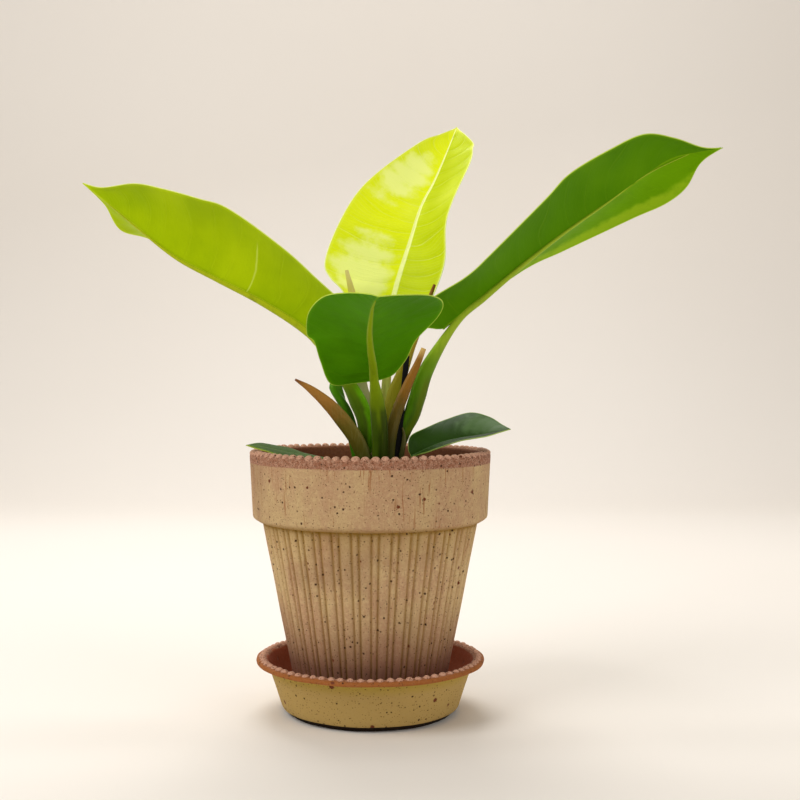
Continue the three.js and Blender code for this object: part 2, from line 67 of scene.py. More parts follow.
SAUCER_BEAD_HEIGHT = 40.1
BEAD_FLATNESS = 0.82
INSIDE_MARGIN = 0.6
SMOOTH_ANGLE = math.radians(50)

# The clay that pot and saucer share: its colours, and the heights in metres where a shade fades.
CLAY = {
    "bare": "966248", "dusty": "b58a70", "grit": "5a3420", "crack": "6a3c24", "lip": "9c5a20",
    # The pale pink for the beads is a painted highlight.
    "bead_highlight": "c99a80", "chalk": "dcc393", "streak": "96582c", "grain": "85623a",
    # The near black for the recess under the saucer's foot is painted shade.
    "collar": "8a6648", "rust": "6a3012", "iron": "3a1f0e", "fleck": "4a2c12", "recess_shade": "24160a",
}
COLLAR_SHADE = (0.138, 0.143)
FOOT_SHADE = (0.094, 0.03)
RECESS_SHADE = (0.0043, 0.0036)


class Signal:
    """A socket that takes part in arithmetic: each operator adds the Math node for it."""

    def __init__(self, finish, socket):
        self.finish = finish
        self.socket = socket

    def __add__(self, other):
        return self.finish.math("ADD", self, other)

    __radd__ = __add__

    def __sub__(self, other):
        return self.finish.math("SUBTRACT", self, other)

    def __rsub__(self, other):
        return self.finish.math("SUBTRACT", other, self)

    def __mul__(self, other):
        return self.finish.math("MULTIPLY", self, other)

    __rmul__ = __mul__

    def __truediv__(self, other):
        return self.finish.math("DIVIDE", self, other)

    def __rtruediv__(self, other):
        return self.finish.math("DIVIDE", other, self)

    def __abs__(self):
        return self.finish.math("ABSOLUTE", self)


class Finish:
    """A procedural material round one Principled shader."""

    def __init__(self, name, **constants):
        self.material = bpy.data.materials.new(name)
        self.material.use_nodes = True
        self.tree = self.material.node_tree
        self.shader = self.tree.nodes["Principled BSDF"]
        for socket, value in constants.items():
            self.shader.inputs[socket.replace("_", " ")].default_value = value

    def plug(self, value, socket):
        if isinstance(value, Signal):
            self.tree.links.new(value.socket, socket)
        else:
            socket.default_value = value

    def node(self, kind, settings=(), values=()):
        added = self.tree.nodes.new(kind)
        for key, value in dict(settings).items():
            setattr(added, key, value)
        for key, value in dict(values).items():
            self.plug(value, added.inputs[key])
        return added

    def read(self, output, kind, settings=(), values=()):
        """One output of a new node."""
        return Signal(self, self.node(kind, settings, values).outputs[output])

    def math(self, operation, *values):
        return self.read(0, "ShaderNodeMath", {"operation": operation}, enumerate(values))

    def wear(self, socket, value):
        """Feeds one of the shader's own sockets."""
        self.plug(value, self.shader.inputs[socket])

    def place(self, stretch=(1, 1, 1)):
        """Object coordinates, stretched along the axes."""
        values = {"Vector": self.read("Object", "ShaderNodeTexCoord"), "Scale": stretch}
        return self.read("Vector", "ShaderNodeMapping", {"vector_type": "POINT"}, values)

    def part(self, vector, axis):
        return self.read(axis, "ShaderNodeSeparateXYZ", (), {"Vector": vector})

    def attribute(self, name):
        return self.read("Fac", "ShaderNodeAttribute", {"attribute_name": name})

    def cloud(self, vector, scale, detail=3.0, roughness=0.5):
        values = {"Vector": vector, "Scale": scale, "Detail": detail, "Roughness": roughness}
        return self.read(0, "ShaderNodeTexNoise", (), values)

    def wobble(self, vector, scale, amount):
        """The same place, pushed about by a cloud: amount in metres."""
        values = {"Vector": vector, "Scale": scale, "Detail": 2.0}
        push = self.read("Color", "ShaderNodeTexNoise", (), values)
        values = {0: push, 1: (0.5,) * 3}
        centred = self.read(0, "ShaderNodeVectorMath", {"operation": "SUBTRACT"}, values)
        values = {0: centred, 1: (amount,) * 3, 2: vector}
        return self.read(0, "ShaderNodeVectorMath", {"operation": "MULTIPLY_ADD"}, values)

    def dots(self, vector, cell, share, radius):
        """Spots in a share of the cells, 1 at the middle: cell and radius in millimetres."""
        cells = self.node("ShaderNodeTexVoronoi", (), {"Vector": vector, "Scale": 1000 / cell})
        chance = self.part(Signal(self, cells.outputs["Color"]), "X")
        chosen = self.smooth(chance, share, share * 0.8)
        size = self.smooth(chance, 0, share) * -0.6 + 1
        reach = radius / cell
        from_middle = Signal(self, cells.outputs["Distance"]) / size
        return self.smooth(from_middle, reach, reach * 0.5) * chosen

    def smooth(self, value, low, high):
        """0 below low and 1 above high, eased; turned round where low is the greater."""
        first, last = (1.0, 0.0) if low > high else (0.0, 1.0)
        values = {
            "Value": value, "From Min": min(low, high), "From Max": max(low, high),
            "To Min": first, "To Max": last,
        }
        return self.read(0, "ShaderNodeMapRange", {"interpolation_type": "SMOOTHSTEP"}, values)

    def mix(self, factor, first, second):
        values = {0: factor, 6: first, 7: second}
        return self.read(2, "ShaderNodeMix", {"data_type": "RGBA"}, values)

    def bump(self, height, distance, strength=1.0):
        """Relief: height runs from 0 to 1 and stands for that distance in metres."""
        values = {"Height": height, "Distance": distance, "Strength": strength}
        self.wear("Normal", self.read("Normal", "ShaderNodeBump", (), values))


def paint(code):
    """A colour from its sRGB hex code."""
    channels = [int(code[i:i + 2], 16) / 255 for i in (0, 2, 4)]
    return (*[c / 12.92 if c <= 0.04045 else ((c + 0.055) / 1.055) ** 2.4 for c in channels], 1)


def clay_finish(name, slip, stain, hollow, foot, lining, blotch, chip):
    """Terracotta under a thin slip: colours as codes, the share of blotches, the size of chips.

    Mesh marks: bare, inside, lip face, painted bead highlight, and groove tone with painted shade.
    """
    tone = {part: paint(code) for part, code in CLAY.items()}
    slip, stain, hollow, foot, lining = [paint(c) for c in (slip, stain, hollow, foot, lining)]
    finish = Finish(name, Specular_IOR_Level=0.2)
    place = finish.place()
    height = finish.part(place, "Z")
    groove = finish.attribute("groove")
    rough = finish.cloud(place, 420, 5, 0.65)
    grit = finish.cloud(place, 1100, 3, 0.7)
    patches = finish.cloud(finish.place((1, 1, 0.45)), 38, 4, 0.6)
    streaks = finish.cloud(finish.place((1, 1, 0.05)), 420, 3, 0.6)
    collar = finish.smooth(height, *COLLAR_SHADE)
    broad = finish.cloud(place, 17, 3, 0.5)

    clay = finish.mix(finish.smooth(rough, 0.35, 0.65), tone["bare"], tone["dusty"])
    clay = finish.mix(finish.smooth(grit, 0.48, 0.66) * 0.85, clay, tone["grit"])
    cracks = finish.cloud(finish.place((1, 1, 5)), 190, 4, 0.7)
    clay = finish.mix(finish.smooth(cracks, 0.58, 0.68) * 0.6, clay, tone["crack"])
    clay = finish.mix(finish.attribute("face") * 0.85, clay, tone["lip"])
    # The beads are painted paler: a painted highlight on them.
    bead_highlight = finish.attribute("lit_bead") * finish.smooth(grit, 0.75, 0.45)
    clay = finish.mix(bead_highlight, clay, tone["bead_highlight"])
    clay = finish.mix(finish.attribute("inside") * 0.85, clay, lining)

    washed = finish.mix(finish.smooth(patches, 0.36, 0.66), slip, stain)
    washed = finish.mix(finish.smooth(rough, 0.45, 0.65) * 0.35, washed, tone["chalk"])
    washed = finish.mix(finish.smooth(broad, 0.5, 0.7) * blotch, washed, foot)
    lines = finish.smooth(streaks, 0.58, 0.66) * finish.smooth(broad, 0.35, 0.55)
    washed = finish.mix(lines * (collar * 0.55 + 0.2), washed, tone["streak"])
    washed = finish.mix(finish.smooth(grit, 0.52, 0.7) * 0.4, washed, tone["grain"])
    washed = finish.mix(collar * 0.16, washed, tone["collar"])
    low = finish.smooth(height + (patches - 0.5) * 0.03, *FOOT_SHADE)
    washed = finish.mix(low * 0.9, washed, foot)
    # The groove mark takes the slip to the hollow colour: the flutes' own tone, and painted shade
    # under the collar and under the saucer's lip.
    shaded = groove * (finish.smooth(rough, 0.2, 0.6) * 0.5 + 0.5)
    washed = finish.mix(shaded, washed, hollow)

    bare = finish.smooth(finish.attribute("bare") + (rough - 0.5) * 0.7, 0.42, 0.58)
    colour = finish.mix(bare, washed, clay)
    loose = finish.wobble(place, 900, 0.0012)
    rust = finish.dots(loose, 9, 0.4, chip)
    iron = finish.dots(finish.wobble(place, 1400, 0.0008), 4.8, 0.85, 1.15)
    flecks = finish.dots(loose, 1.8, 1, 0.55)
    outside = 1 - finish.attribute("inside") * 0.8
    colour = finish.mix(rust * outside, colour, tone["rust"])
    colour = finish.mix(iron * outside * 0.95, colour, tone["iron"])
    colour = finish.mix(flecks * outside * 0.8, colour, tone["fleck"])
    # Painted shade in the recess under the saucer's foot, where the floor's light does not reach.
    colour = finish.mix(finish.smooth(height, *RECESS_SHADE), colour, tone["recess_shade"])
    finish.wear("Base Color", colour)
    finish.wear("Roughness", 0.92 - bare * 0.1 - rust * 0.3)
    pits = finish.smooth(grit, 0.6, 0.75)
    relief = rough * 0.5 + patches * 0.2 - pits * 0.4 - (rust + iron) * 0.4 + grit * 0.2
    finish.bump(relief, 0.0006, 0.9 - finish.attribute("face") * 0.5)
    return finish.material


def fresh():
    """Nothing is selected before a new piece is begun."""
    if bpy.context.object and bpy.context.object.mode != "OBJECT":
        bpy.ops.object.mode_set(mode="OBJECT")
    bpy.ops.object.select_all(action="DESELECT")


def turned_form(name, outline, segments):
    """A ring is extruded step by step up its outline, as on a wheel."""
    fresh()
    radius, height = outline[0]
    bpy.ops.mesh.primitive_circle_add(
        vertices=segments, radius=radius * MM, location=(0, 0, height * MM)
    )
    piece = bpy.context.object
    piece.name = name
    bpy.ops.object.transform_apply(location=True)
    bpy.ops.object.mode_set(mode="EDIT")
    bpy.ops.mesh.select_all(action="SELECT")
    for wider, higher in outline[1:]:
        rise = (0, 0, (higher - height) * MM)
        growth = (wider / radius, wider / radius, 1)
        bpy.ops.mesh.extrude_region_move(TRANSFORM_OT_translate={"value": rise})
        bpy.ops.transform.resize(value=growth, center_override=(0, 0, 0))
        radius, height = wider, higher
    bpy.ops.mesh.select_all(action="SELECT")
    bpy.ops.mesh.remove_doubles(threshold=1e-6)
    bpy.ops.mesh.select_all(action="DESELECT")
    bpy.ops.mesh.select_non_manifold()
    bpy.ops.mesh.fill_holes(sides=0)
    bpy.ops.mesh.select_all(action="SELECT")
    bpy.ops.mesh.normals_make_consistent(inside=False)
    bpy.ops.object.mode_set(mode="OBJECT")
    return piece


def points_of(piece):
    points = np.empty(len(piece.data.vertices) * 3)
    piece.data.vertices.foreach_get("co", points)
    return points.reshape(-1, 3)


def set_points(piece, points):
    piece.data.vertices.foreach_set("co", points.reshape(-1))
    piece.data.update()


def mark(piece, name, values):
    """A number for each vertex, for a finish to read."""
    layer = piece.data.attributes.new(name, "FLOAT", "POINT")
    layer.data.foreach_set("value", np.asarray(values, dtype=np.float32))


def measured(piece):
    """Its points in millimetres, with their distance from the pot's axis and their height."""
    where = points_of(piece) / MM
    return where, np.hypot(where[:, 0], where[:, 1]), where[:, 2]


def near(height, middle, reach):
    """1 at a height, and 0 from that reach on above and below it."""
    return np.clip(1 - np.abs(height - middle) / reach, 0, 1)


def inside_of(inner_wall, bottom, from_axis, height):
    """True for what faces the inside of a vessel."""
    radii, heights = zip(*inner_wall)
    return (height > bottom) & (from_axis < np.interp(height, heights, radii) + INSIDE_MARGIN)


def handmade(piece, depth, size):
    """Small unevenness, as hands leave it: depth and size in millimetres."""
    points = points_of(piece)
    scale = 1 / (size * MM)
    for point in points:
        lift = noise.noise(Vector(point) * scale) * depth * MM
        reach = math.hypot(point[0], point[1]) or 1
        point[0] += point[0] / reach * lift
        point[1] += point[1] / reach * lift
        point[2] += noise.noise(Vector(point) * scale + Vector((9, 4, 7))) * depth * MM * 0.5
    set_points(piece, points)


def copies(first, count):
    """A piece and its copies, each with its own mesh."""
    made = [first]
    for _ in range(count - 1):
        copy = first.copy()
        copy.data = first.data.copy()
        bpy.context.collection.objects.link(copy)
        made.append(copy)
    return made


def turn_about_axis(angle):
    """A matrix for points that stand to its left."""
    cos, sin = math.cos(angle), math.sin(angle)
    return np.array([[cos, sin, 0], [-sin, cos, 0], [0, 0, 1]])


def joined(name, parts):
    """Parts that are one body on the real thing become one mesh."""
    fresh()
    for part in parts:
        part.select_set(True)
    bpy.context.view_layer.objects.active = parts[0]
    if len(parts) > 1:
        bpy.ops.object.join()
    parts[0].name = name
    return parts[0]


def one_piece(name, *parts):
    """The finished mesh, shaded smooth but for its corners."""
    piece = joined(name, parts)
    bpy.ops.object.shade_smooth_by_angle(angle=SMOOTH_ANGLE)
    return piece


def bead_row(name, count, ring, height, radius, seed):
    """One ball of clay, a little flattened, is copied round the ring, each a bit different."""
    rng = random.Random(seed)
    fresh()
    bpy.ops.mesh.primitive_uv_sphere_add(
        segments=18, ring_count=10, radius=radius * MM, location=(0, 0, 0)
    )
    bpy.ops.transform.resize(value=(1, 1, BEAD_FLATNESS))
    bpy.ops.object.transform_apply(location=True, scale=True)
    shape = points_of(bpy.context.object)
    row = copies(bpy.context.object, count)
    for index, bead in enumerate(row):
        angle = (index + 0.5 + rng.uniform(-0.05, 0.05)) / count * 2 * math.pi
        swell = rng.uniform(0.92, 1.05)
        points = shape * (swell * rng.uniform(0.92, 1.04), swell, swell * rng.uniform(0.9, 1.06))
        lumps = np.array([noise.noise(Vector(p) * 260 + Vector((index, 0, 0))) for p in points])
        points = points * (1 + 0.1 * lumps[:, None])
        out = (ring + rng.uniform(-0.25, 0.2)) * MM
        place = np.array([math.cos(angle) * out, math.sin(angle) * out, (height - 0.35) * MM])
        set_points(bead, points @ turn_about_axis(angle) + place)
    return joined(name, row)


def mark_bead_highlights(body, beads):
    """The beads are marked to be painted paler than the rest: a painted highlight on them."""
    mark(body, "lit_bead", np.zeros(len(body.data.vertices)))
    mark(beads, "lit_bead", np.ones(len(beads.data.vertices)))


def settle(piece, node):
    """The piece stands for its solid and rides with it."""
    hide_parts(node)
    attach(piece, "root")


saucer_body = turned_form("saucer_body", SAUCER_OUTLINE, SAUCER_SEGMENTS)
handmade(saucer_body, depth=0.5, size=22)
saucer_beads = bead_row(
    "saucer_beads", SAUCER_BEADS, SAUCER_BEAD_RING, SAUCER_BEAD_HEIGHT, SAUCER_BEAD_RADIUS, seed=3
)
mark_bead_highlights(saucer_body, saucer_beads)
saucer = one_piece("saucer_terracotta", saucer_body, saucer_beads)
_, from_axis, height = measured(saucer)
lip_edge = (from_axis > LIP_EDGE_RADIUS) & (height > LIP_EDGE_BOTTOM) & (height < LIP_EDGE_TOP)
inside = inside_of(SAUCER_INNER_WALL, SAUCER_INSIDE_FROM, from_axis, height)
mark(saucer, "bare", lip_edge | (height > LIP_TOP) | inside | (height < FOOT_TOP))
mark(saucer, "inside", inside)
mark(saucer, "face", lip_edge)
# The groove mark here is painted shade under the lip's overhang.
mark(saucer, "groove", near(height, UNDER_LIP, reach=4) * (from_axis > WALL_TOP_RADIUS) * 0.7)
# The saucer's slip colours are the pot's cream with a painted yellow reflection in them.
saucer.data.materials.append(clay_finish(
    "saucer_clay", slip="ceb45e", stain="c0a24c", hollow="ae9620", foot="b4965a", lining="a04a24",
    blotch=0.5, chip=2.6,
))
settle(saucer, "saucer")


# Pot: thrown terracotta with a fluted body, a wide rib and a narrow rib in turn, under a plain
# collar. A cream slip covers it to just under the rim, which is left bare and carries a row of
# pressed beads.
POT_BASE_RADIUS = 54.4
POT_BASE_HEIGHT = 9.3
POT_TAPER = 0.196
POT_FLOOR = 18.3
POT_INSIDE_FROM = 18
POT_INNER_WALL = [(48.2, 20), (49.6, 24), (73, 142), (78, 168), (81.8, 186.6), (82.6, 192.4)]
WALL_BOTTOM = 11
WALL_STEPS = 44
COLLAR_BOTTOM = 141.5
UNDER_COLLAR = 141.6
UNDER_COLLAR_RADIUS = 79
SHADE_BOTTOM = 108
SHADE_HEIGHT = 34
BARE_RIM_BOTTOM = 183.4
BARE_RIM_FADE = 4.2
RIM_BEADS = 80
RIM_BEAD_RADIUS = 3.1
RIM_BEAD_RING = 86.8
RIM_BEAD_HEIGHT = 192.7
FLUTES = 35
STEPS_PER_FLUTE = 20
FLUTE_DEPTH = 1.5
NARROW_RIB = 0.49  # place of its middle in a flute, as a share of it
NARROW_HALF = 0.18  # from there to the groove on each side
GROOVE_HALF = 0.075
GROOVE_CUT = 0.75  # share of the depth that the groove itself takes
RIB_ROUNDING = 0.42  # and the share that the ribs fall away towards it


def wall_radius(height):
    return POT_BASE_RADIUS + (height - POT_BASE_HEIGHT) * POT_TAPER


def groove_share(where):
    """How deep the wall lies round the pot: 0 on a rib's crown, 1 at the bottom of a groove."""
    angle = np.arctan2(where[:, 1], where[:, 0]) % (2 * math.pi)
    share = (angle / (2 * math.pi) * FLUTES) % 1
    from_middle = np.abs(share - NARROW_RIB)
    from_groove = np.abs(from_middle - NARROW_HALF)
    half_rib = np.where(from_middle < NARROW_HALF, NARROW_HALF, 0.5 - NARROW_HALF)
    rounding = RIB_ROUNDING * (1 - np.clip(from_groove / half_rib, 0, 1)) ** 2
    return np.clip(np.exp(-((from_groove / GROOVE_HALF) ** 2)) * GROOVE_CUT + rounding, 0, 1)


def on_wall(from_axis, height, inwards, upwards):
    """True on the fluted face, and that far inside it and above its top."""
    outer = from_axis > wall_radius(height) - inwards
    return outer & (height > WALL_BOTTOM) & (height < COLLAR_BOTTOM + upwards)


wall = [
    (wall_radius(height), height)
    for height in np.linspace(POT_BASE_HEIGHT + 2.5, COLLAR_BOTTOM, WALL_STEPS)
]
POT_OUTLINE = [
    (9, POT_BASE_HEIGHT), (51, POT_BASE_HEIGHT), (53.6, POT_BASE_HEIGHT + 0.5), *wall,
    (81.4, 141.6), (83.5, 142.4), (86.2, 144.1), (87.2, 145), (87.6, 146.4), (88.2, 158),
    (88.9, 172), (89.5, 183.4), (89.6, 184.8), (89.7, 186.2), (89.8, 187.6), (89.9, 190.4),
    (89.6, 192), (88.6, 192.7), (84, 192.8), (82.6, 192.4), (81.9, 191), (81.8, 186.6), (78, 168),
    (73, 142), (49.6, 24), (48.2, POT_FLOOR + 1), (46, POT_FLOOR), (9, POT_FLOOR),
    (9, POT_BASE_HEIGHT),
]
pot_body = turned_form("pot_body", POT_OUTLINE, FLUTES * STEPS_PER_FLUTE)
where, from_axis, height = measured(pot_body)
groove = groove_share(where) * on_wall(from_axis, height, inwards=0.6, upwards=0.05)
inward = 1 - groove * FLUTE_DEPTH / from_axis
set_points(pot_body, where * MM * np.stack([inward, inward, np.ones_like(inward)], axis=1))
handmade(pot_body, depth=0.25, size=30)
rim_beads = bead_row(
    "pot_beads", RIM_BEADS, RIM_BEAD_RING, RIM_BEAD_HEIGHT, RIM_BEAD_RADIUS, seed=8
)
mark_bead_highlights(pot_body, rim_beads)
pot = one_piece("pot_terracotta", pot_body, rim_beads)
where, from_axis, height = measured(pot)
fluted = on_wall(from_axis, height, inwards=2, upwards=0.3)
rim = np.clip((height - BARE_RIM_BOTTOM) / BARE_RIM_FADE, 0, 1)
inside = inside_of(POT_INNER_WALL, POT_INSIDE_FROM, from_axis, height)
mark(pot, "bare", np.maximum(rim, inside))
mark(pot, "inside", inside)
mark(pot, "face", np.zeros(len(where)))
# Groove mark: the flutes' own tone with painted shade in them, a painted shade line under the
# collar, and painted shade rising towards the collar.
under_collar_shade = near(height, UNDER_COLLAR, reach=3.2) * (from_axis > UNDER_COLLAR_RADIUS) * 0.75
shade = np.clip((height - SHADE_BOTTOM) / SHADE_HEIGHT, 0, 1) ** 2 * 0.45
groove_tone_and_shade = np.clip(groove_share(where) - 0.25, 0, 1) * fluted * 0.7
mark(pot, "groove", np.clip(groove_tone_and_shade + under_collar_shade + shade * fluted, 0, 1))
pot.data.materials.append(clay_finish(
    "pot_clay", slip="c8ab7c", stain="bc9672", hollow="906c1e", foot="7d4e40", lining="6a3a20",
    blotch=0.35, chip=1.8,
))
settle(pot, "pot")


# Soil: a moist, dark mix of bark and peat that fills the pot to 2 cm under its rim. Its top is
# uneven, and chips of bark lie loose on it.
SOIL_RADIUS = 78.8
SOIL_HEIGHT = 174
SOIL_RINGS = 40
SOIL_SINK = 1.4
SOIL_CREST = 0.4
LUMP_HEIGHT = 1.6
CRUMB_HEIGHT = 0.7
CHIPS = 420
CHIP_SPREAD = 0.95
CHIP_SINK = 0.7

fresh()
bpy.ops.mesh.primitive_circle_add(
    vertices=96, radius=SOIL_RADIUS * MM, fill_type="NOTHING", location=(0, 0, 0)
)
soil_top = bpy.context.object
bpy.ops.object.mode_set(mode="EDIT")
bpy.ops.mesh.select_all(action="SELECT")
for ring in range(SOIL_RINGS, 0, -1):
    shrink = (ring - 0.5) / (ring + 0.5 if ring == SOIL_RINGS else ring)
    bpy.ops.mesh.extrude_region_move()
    bpy.ops.transform.resize(value=(shrink, shrink, 1), center_override=(0, 0, 0))
bpy.ops.mesh.merge(type="CENTER")
bpy.ops.object.mode_set(mode="OBJECT")
points = points_of(soil_top)
for point in points:
    spot = Vector(point)
    lumps = noise.fractal(spot * 90, 0.8, 2.2, 4) * LUMP_HEIGHT
    lumps += noise.noise(spot * 340) * CRUMB_HEIGHT
    point[2] = (SOIL_HEIGHT - SOIL_SINK + lumps) * MM
points[:, 2] = np.minimum(points[:, 2], (SOIL_HEIGHT + SOIL_CREST) * MM)
set_points(soil_top, points)
rng = random.Random(21)
bpy.ops.mesh.primitive_ico_sphere_add(subdivisions=1, radius=1)
chip_shape = points_of(bpy.context.object)
chips = copies(bpy.context.object, CHIPS)
for chip in chips:
    reach = SOIL_RADIUS * math.sqrt(rng.random()) * CHIP_SPREAD
    heading = rng.uniform(0, 2 * math.pi)
    size = np.array([rng.uniform(1, 3.2), rng.uniform(0.8, 2), rng.uniform(0.5, 1.1)])
    turn = turn_about_axis(rng.uniform(0, math.pi))
    lift = SOIL_HEIGHT - CHIP_SINK + rng.uniform(-0.4, 0.3)
    centre = np.array([reach * math.cos(heading), reach * math.sin(heading), lift])
    broken = np.array([[rng.uniform(0.75, 1.15)] * 3 for _ in chip_shape])
    set_points(chip, ((chip_shape * broken * size) @ turn + centre) * MM)
soil = one_piece("potting_soil", soil_top, *chips)
earth = Finish("soil_mix", Specular_IOR_Level=0.25)
place = earth.place()
grain = earth.cloud(place, 260, 6, 0.7)
peat = earth.mix(earth.smooth(grain, 0.35, 0.65), paint("1b110a"), paint("4a3020"))
crumbs = earth.smooth(earth.cloud(place, 95, 3), 0.55, 0.7) * 0.6
earth.wear("Base Color", earth.mix(crumbs, peat, paint("6a4426")))
earth.wear("Roughness", 0.8 + grain * 0.15)
earth.bump(grain, 0.0012)
soil.data.materials.append(earth.material)
settle(soil, "soil")


# Crown: the short stem low in the middle, scarred where old leaves were shed. Its root-stock is in
# the soil. It is the solid itself, since the stalks hide it.
bark = Finish("crown_stem", Specular_IOR_Level=0.35)
place = bark.place((1, 1, 3))
rings = bark.cloud(place, 120, 4, 0.6)
stem_colour = bark.mix(bark.smooth(rings, 0.35, 0.65), paint("3b4214"), paint("6b5a26"))
bark.wear("Base Color", stem_colour)
bark.wear("Roughness", 0.55 + rings * 0.25)
bark.bump(rings, 0.001)
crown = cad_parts["crown"]
crown.data.materials.clear()
crown.data.materials.append(bark.material)


# Support stake: a flat black moulded bar with a square top. It is pushed into the soil among the
# stalks and leans a little with them.
STAKE_TOP = np.array([27.5, 3, 264.5])
STAKE_FOOT = np.array([14.4, -15, 130])
STAKE_WIDTH = 4.2
STAKE_THICKNESS = 2.4
STAKE_CUTS = 6
STAKE_ROUNDING = 0.35


def apply(piece, modifier):
    bpy.context.view_layer.objects.active = piece
    bpy.ops.object.modifier_apply(modifier=modifier.name)


fresh()
bpy.ops.mesh.primitive_cube_add(size=1, location=(0, 0, 0))
stake = bpy.context.object
bpy.ops.object.mode_set(mode="EDIT")
bpy.ops.mesh.subdivide(number_cuts=STAKE_CUTS)
bpy.ops.object.mode_set(mode="OBJECT")
box = points_of(stake)
centre = STAKE_FOOT + (STAKE_TOP - STAKE_FOOT) * (box[:, 2] + 0.5)[:, None]
set_points(stake, (centre + box * (STAKE_WIDTH, STAKE_THICKNESS, 0)) * MM)
edges = stake.modifiers.new("softened_edges", "BEVEL")
edges.width = STAKE_ROUNDING * MM
edges.segments = 3
edges.limit_method = "ANGLE"
apply(stake, edges)
one_piece("stake_bar", stake)
moulded = Finish("stake_plastic", Specular_IOR_Level=0.15)
scuffs = moulded.cloud(moulded.place((1, 1, 0.1)), 900, 4, 0.6)
scuffed = moulded.smooth(scuffs, 0.55, 0.75)
moulded.wear("Base Color", moulded.mix(scuffed, paint("070707"), paint("171614")))
moulded.wear("Roughness", 0.42 + scuffs * 0.25)
moulded.bump(scuffs, 0.0001)
stake.data.materials.append(moulded.material)
settle(stake, "support_stake")


# Leaves: each is one growth of a thin blade on a round stalk that runs on under the blade as its
# midrib. Side veins leave the midrib at a wide angle and bend to the tip. The edge is a thin pale
# line.
BLADE_THICKNESS = 0.62
BLADE_END_WIDTH = 1.2
VEIN_HALF = 0.09  # of a side vein's groove, as a share of the step between two veins
QUILTING = 0.35  # swelling between the veins, as a share of their relief
STALK_SIDES = 28
STALK_ROWS = 110
CHANNEL_HALF = 0.45  # its half width round the stalk, in radians
LOOK_AHEAD = 0.01  # share of a line over which its direction is taken
NEAREST_STEP = 5  # samples of a line that are passed over in a search for the nearest


def route(points):
    """A smooth line through points, sampled at even steps along its length."""
    points = np.asarray(points, float)
    padded = np.vstack([2 * points[0] - points[1], points, 2 * points[-1] - points[-2]])
    samples = []
    for index in range(len(points) - 1):
        before, start, end, after = padded[index:index + 4]
        for step in np.linspace(0, 1, 40, endpoint=False):
            leave, arrive = (end - before) / 2, (after - start) / 2
            samples.append(
                start * (2 * step**3 - 3 * step**2 + 1)
                + leave * (step**3 - 2 * step**2 + step)
                + end * (3 * step**2 - 2 * step**3)
                + arrive * (step**3 - step**2)
            )
    samples = np.vstack([samples, points[-1]])
    reach = np.concatenate([[0], np.cumsum(np.linalg.norm(np.diff(samples, axis=0), axis=1))])
    even = np.linspace(0, reach[-1], 500)
    return np.stack([np.interp(even, reach, samples[:, axis]) for axis in range(3)], axis=1)


def along_route(line, share):
    """Points at shares of a line's length."""
    steps = np.linspace(0, 1, len(line))
    return np.stack([np.interp(share, steps, line[:, axis]) for axis in range(3)], axis=-1)


def unit(vectors):
    return vectors / np.maximum(np.linalg.norm(vectors, axis=-1, keepdims=True), 1e-9)


def blade_lines(leaf):
    """Midrib, left margin and right margin of a leaf, from its base to its tip."""
    midrib = np.asarray(leaf["midrib"], float)
    lines = [route(midrib)]
    for side in ("left", "right"):
        margin = np.asarray(leaf[side], float)
        start = midrib[0] + unit(margin[0] - midrib[0]) * BLADE_END_WIDTH / 2
        end = midrib[-1] + unit(margin[-1] - midrib[-1]) * BLADE_END_WIDTH / 2
        lines.append(route(np.vstack([start, margin, end])))
    return lines


def direction(line, share):
    ahead = along_route(line, np.minimum(share + LOOK_AHEAD, 1))
    return unit(ahead - along_route(line, np.maximum(share - LOOK_AHEAD, 0)))


def axes_along(line, share, up_base, up_end):
    """Middle, left side and upper side of a form that follows a line, at shares of its length."""
    ahead = direction(line, share)
    up = np.asarray(up_base) * (1 - share[:, None]) + np.asarray(up_end) * share[:, None]
    upward = unit(up - ahead * np.sum(up * ahead, axis=1, keepdims=True))
    return along_route(line, share), np.cross(upward, ahead), upward


def blade_points(leaf, lines, share, side):
    """The blade's upper face: share runs to the tip, side from -1 (right) to 1 (left)."""
    midrib, left, right = lines
    on_left = (side >= 0)[..., None]
    middle = along_route(midrib, share)
    chord = np.where(on_left, along_route(left, share), along_route(right, share)) - middle
    width = np.linalg.norm(chord, axis=-1, keepdims=True)
    upward = np.cross(direction(midrib, share), chord) * np.where(on_left, 1, -1)
    upward = unit(upward + np.asarray(leaf["up"]) * width * 0.2)
    outward = np.abs(side)[..., None]
    bulge = np.where(on_left, leaf["bulge"][0], leaf["bulge"][1])
    surface = middle + chord * outward + upward * bulge * width * 4 * outward * (1 - outward)
    return surface, upward, width[..., 0]


def vein_phase(leaf, share, side):
    """Counts the side veins along the blade; they bend to the tip towards the margin."""
    on_left = side > 0
    sway = 0.12 * np.sin(share * 23 + on_left * 2) + 0.07 * np.sin(share * 51 + on_left)
    bend = np.abs(side) ** 1.4 * leaf["vein_lean"]
    return share * leaf["veins"] - bend + on_left * 0.45 + sway


def grid_sheet(name, columns, rows):
    """A flat grid whose x runs from -0.5 to 0.5 across and y from -0.5 to 0.5 along."""
    fresh()
    bpy.ops.mesh.primitive_grid_add(
        x_subdivisions=columns, y_subdivisions=rows, size=1, location=(0, 0, 0)
    )
    sheet = bpy.context.object
    sheet.name = name
    return sheet, points_of(sheet)


def thicken(sheet, thickness):
    """Downwards from the upper face; a second material, if it has one, is for the new face."""
    skin = sheet.modifiers.new("thickness", "SOLIDIFY")
    skin.thickness = thickness * MM
    skin.offset = -1
    skin.material_offset = max(len(sheet.data.materials) - 1, 0)
    skin.material_offset_rim = 0
    apply(sheet, skin)


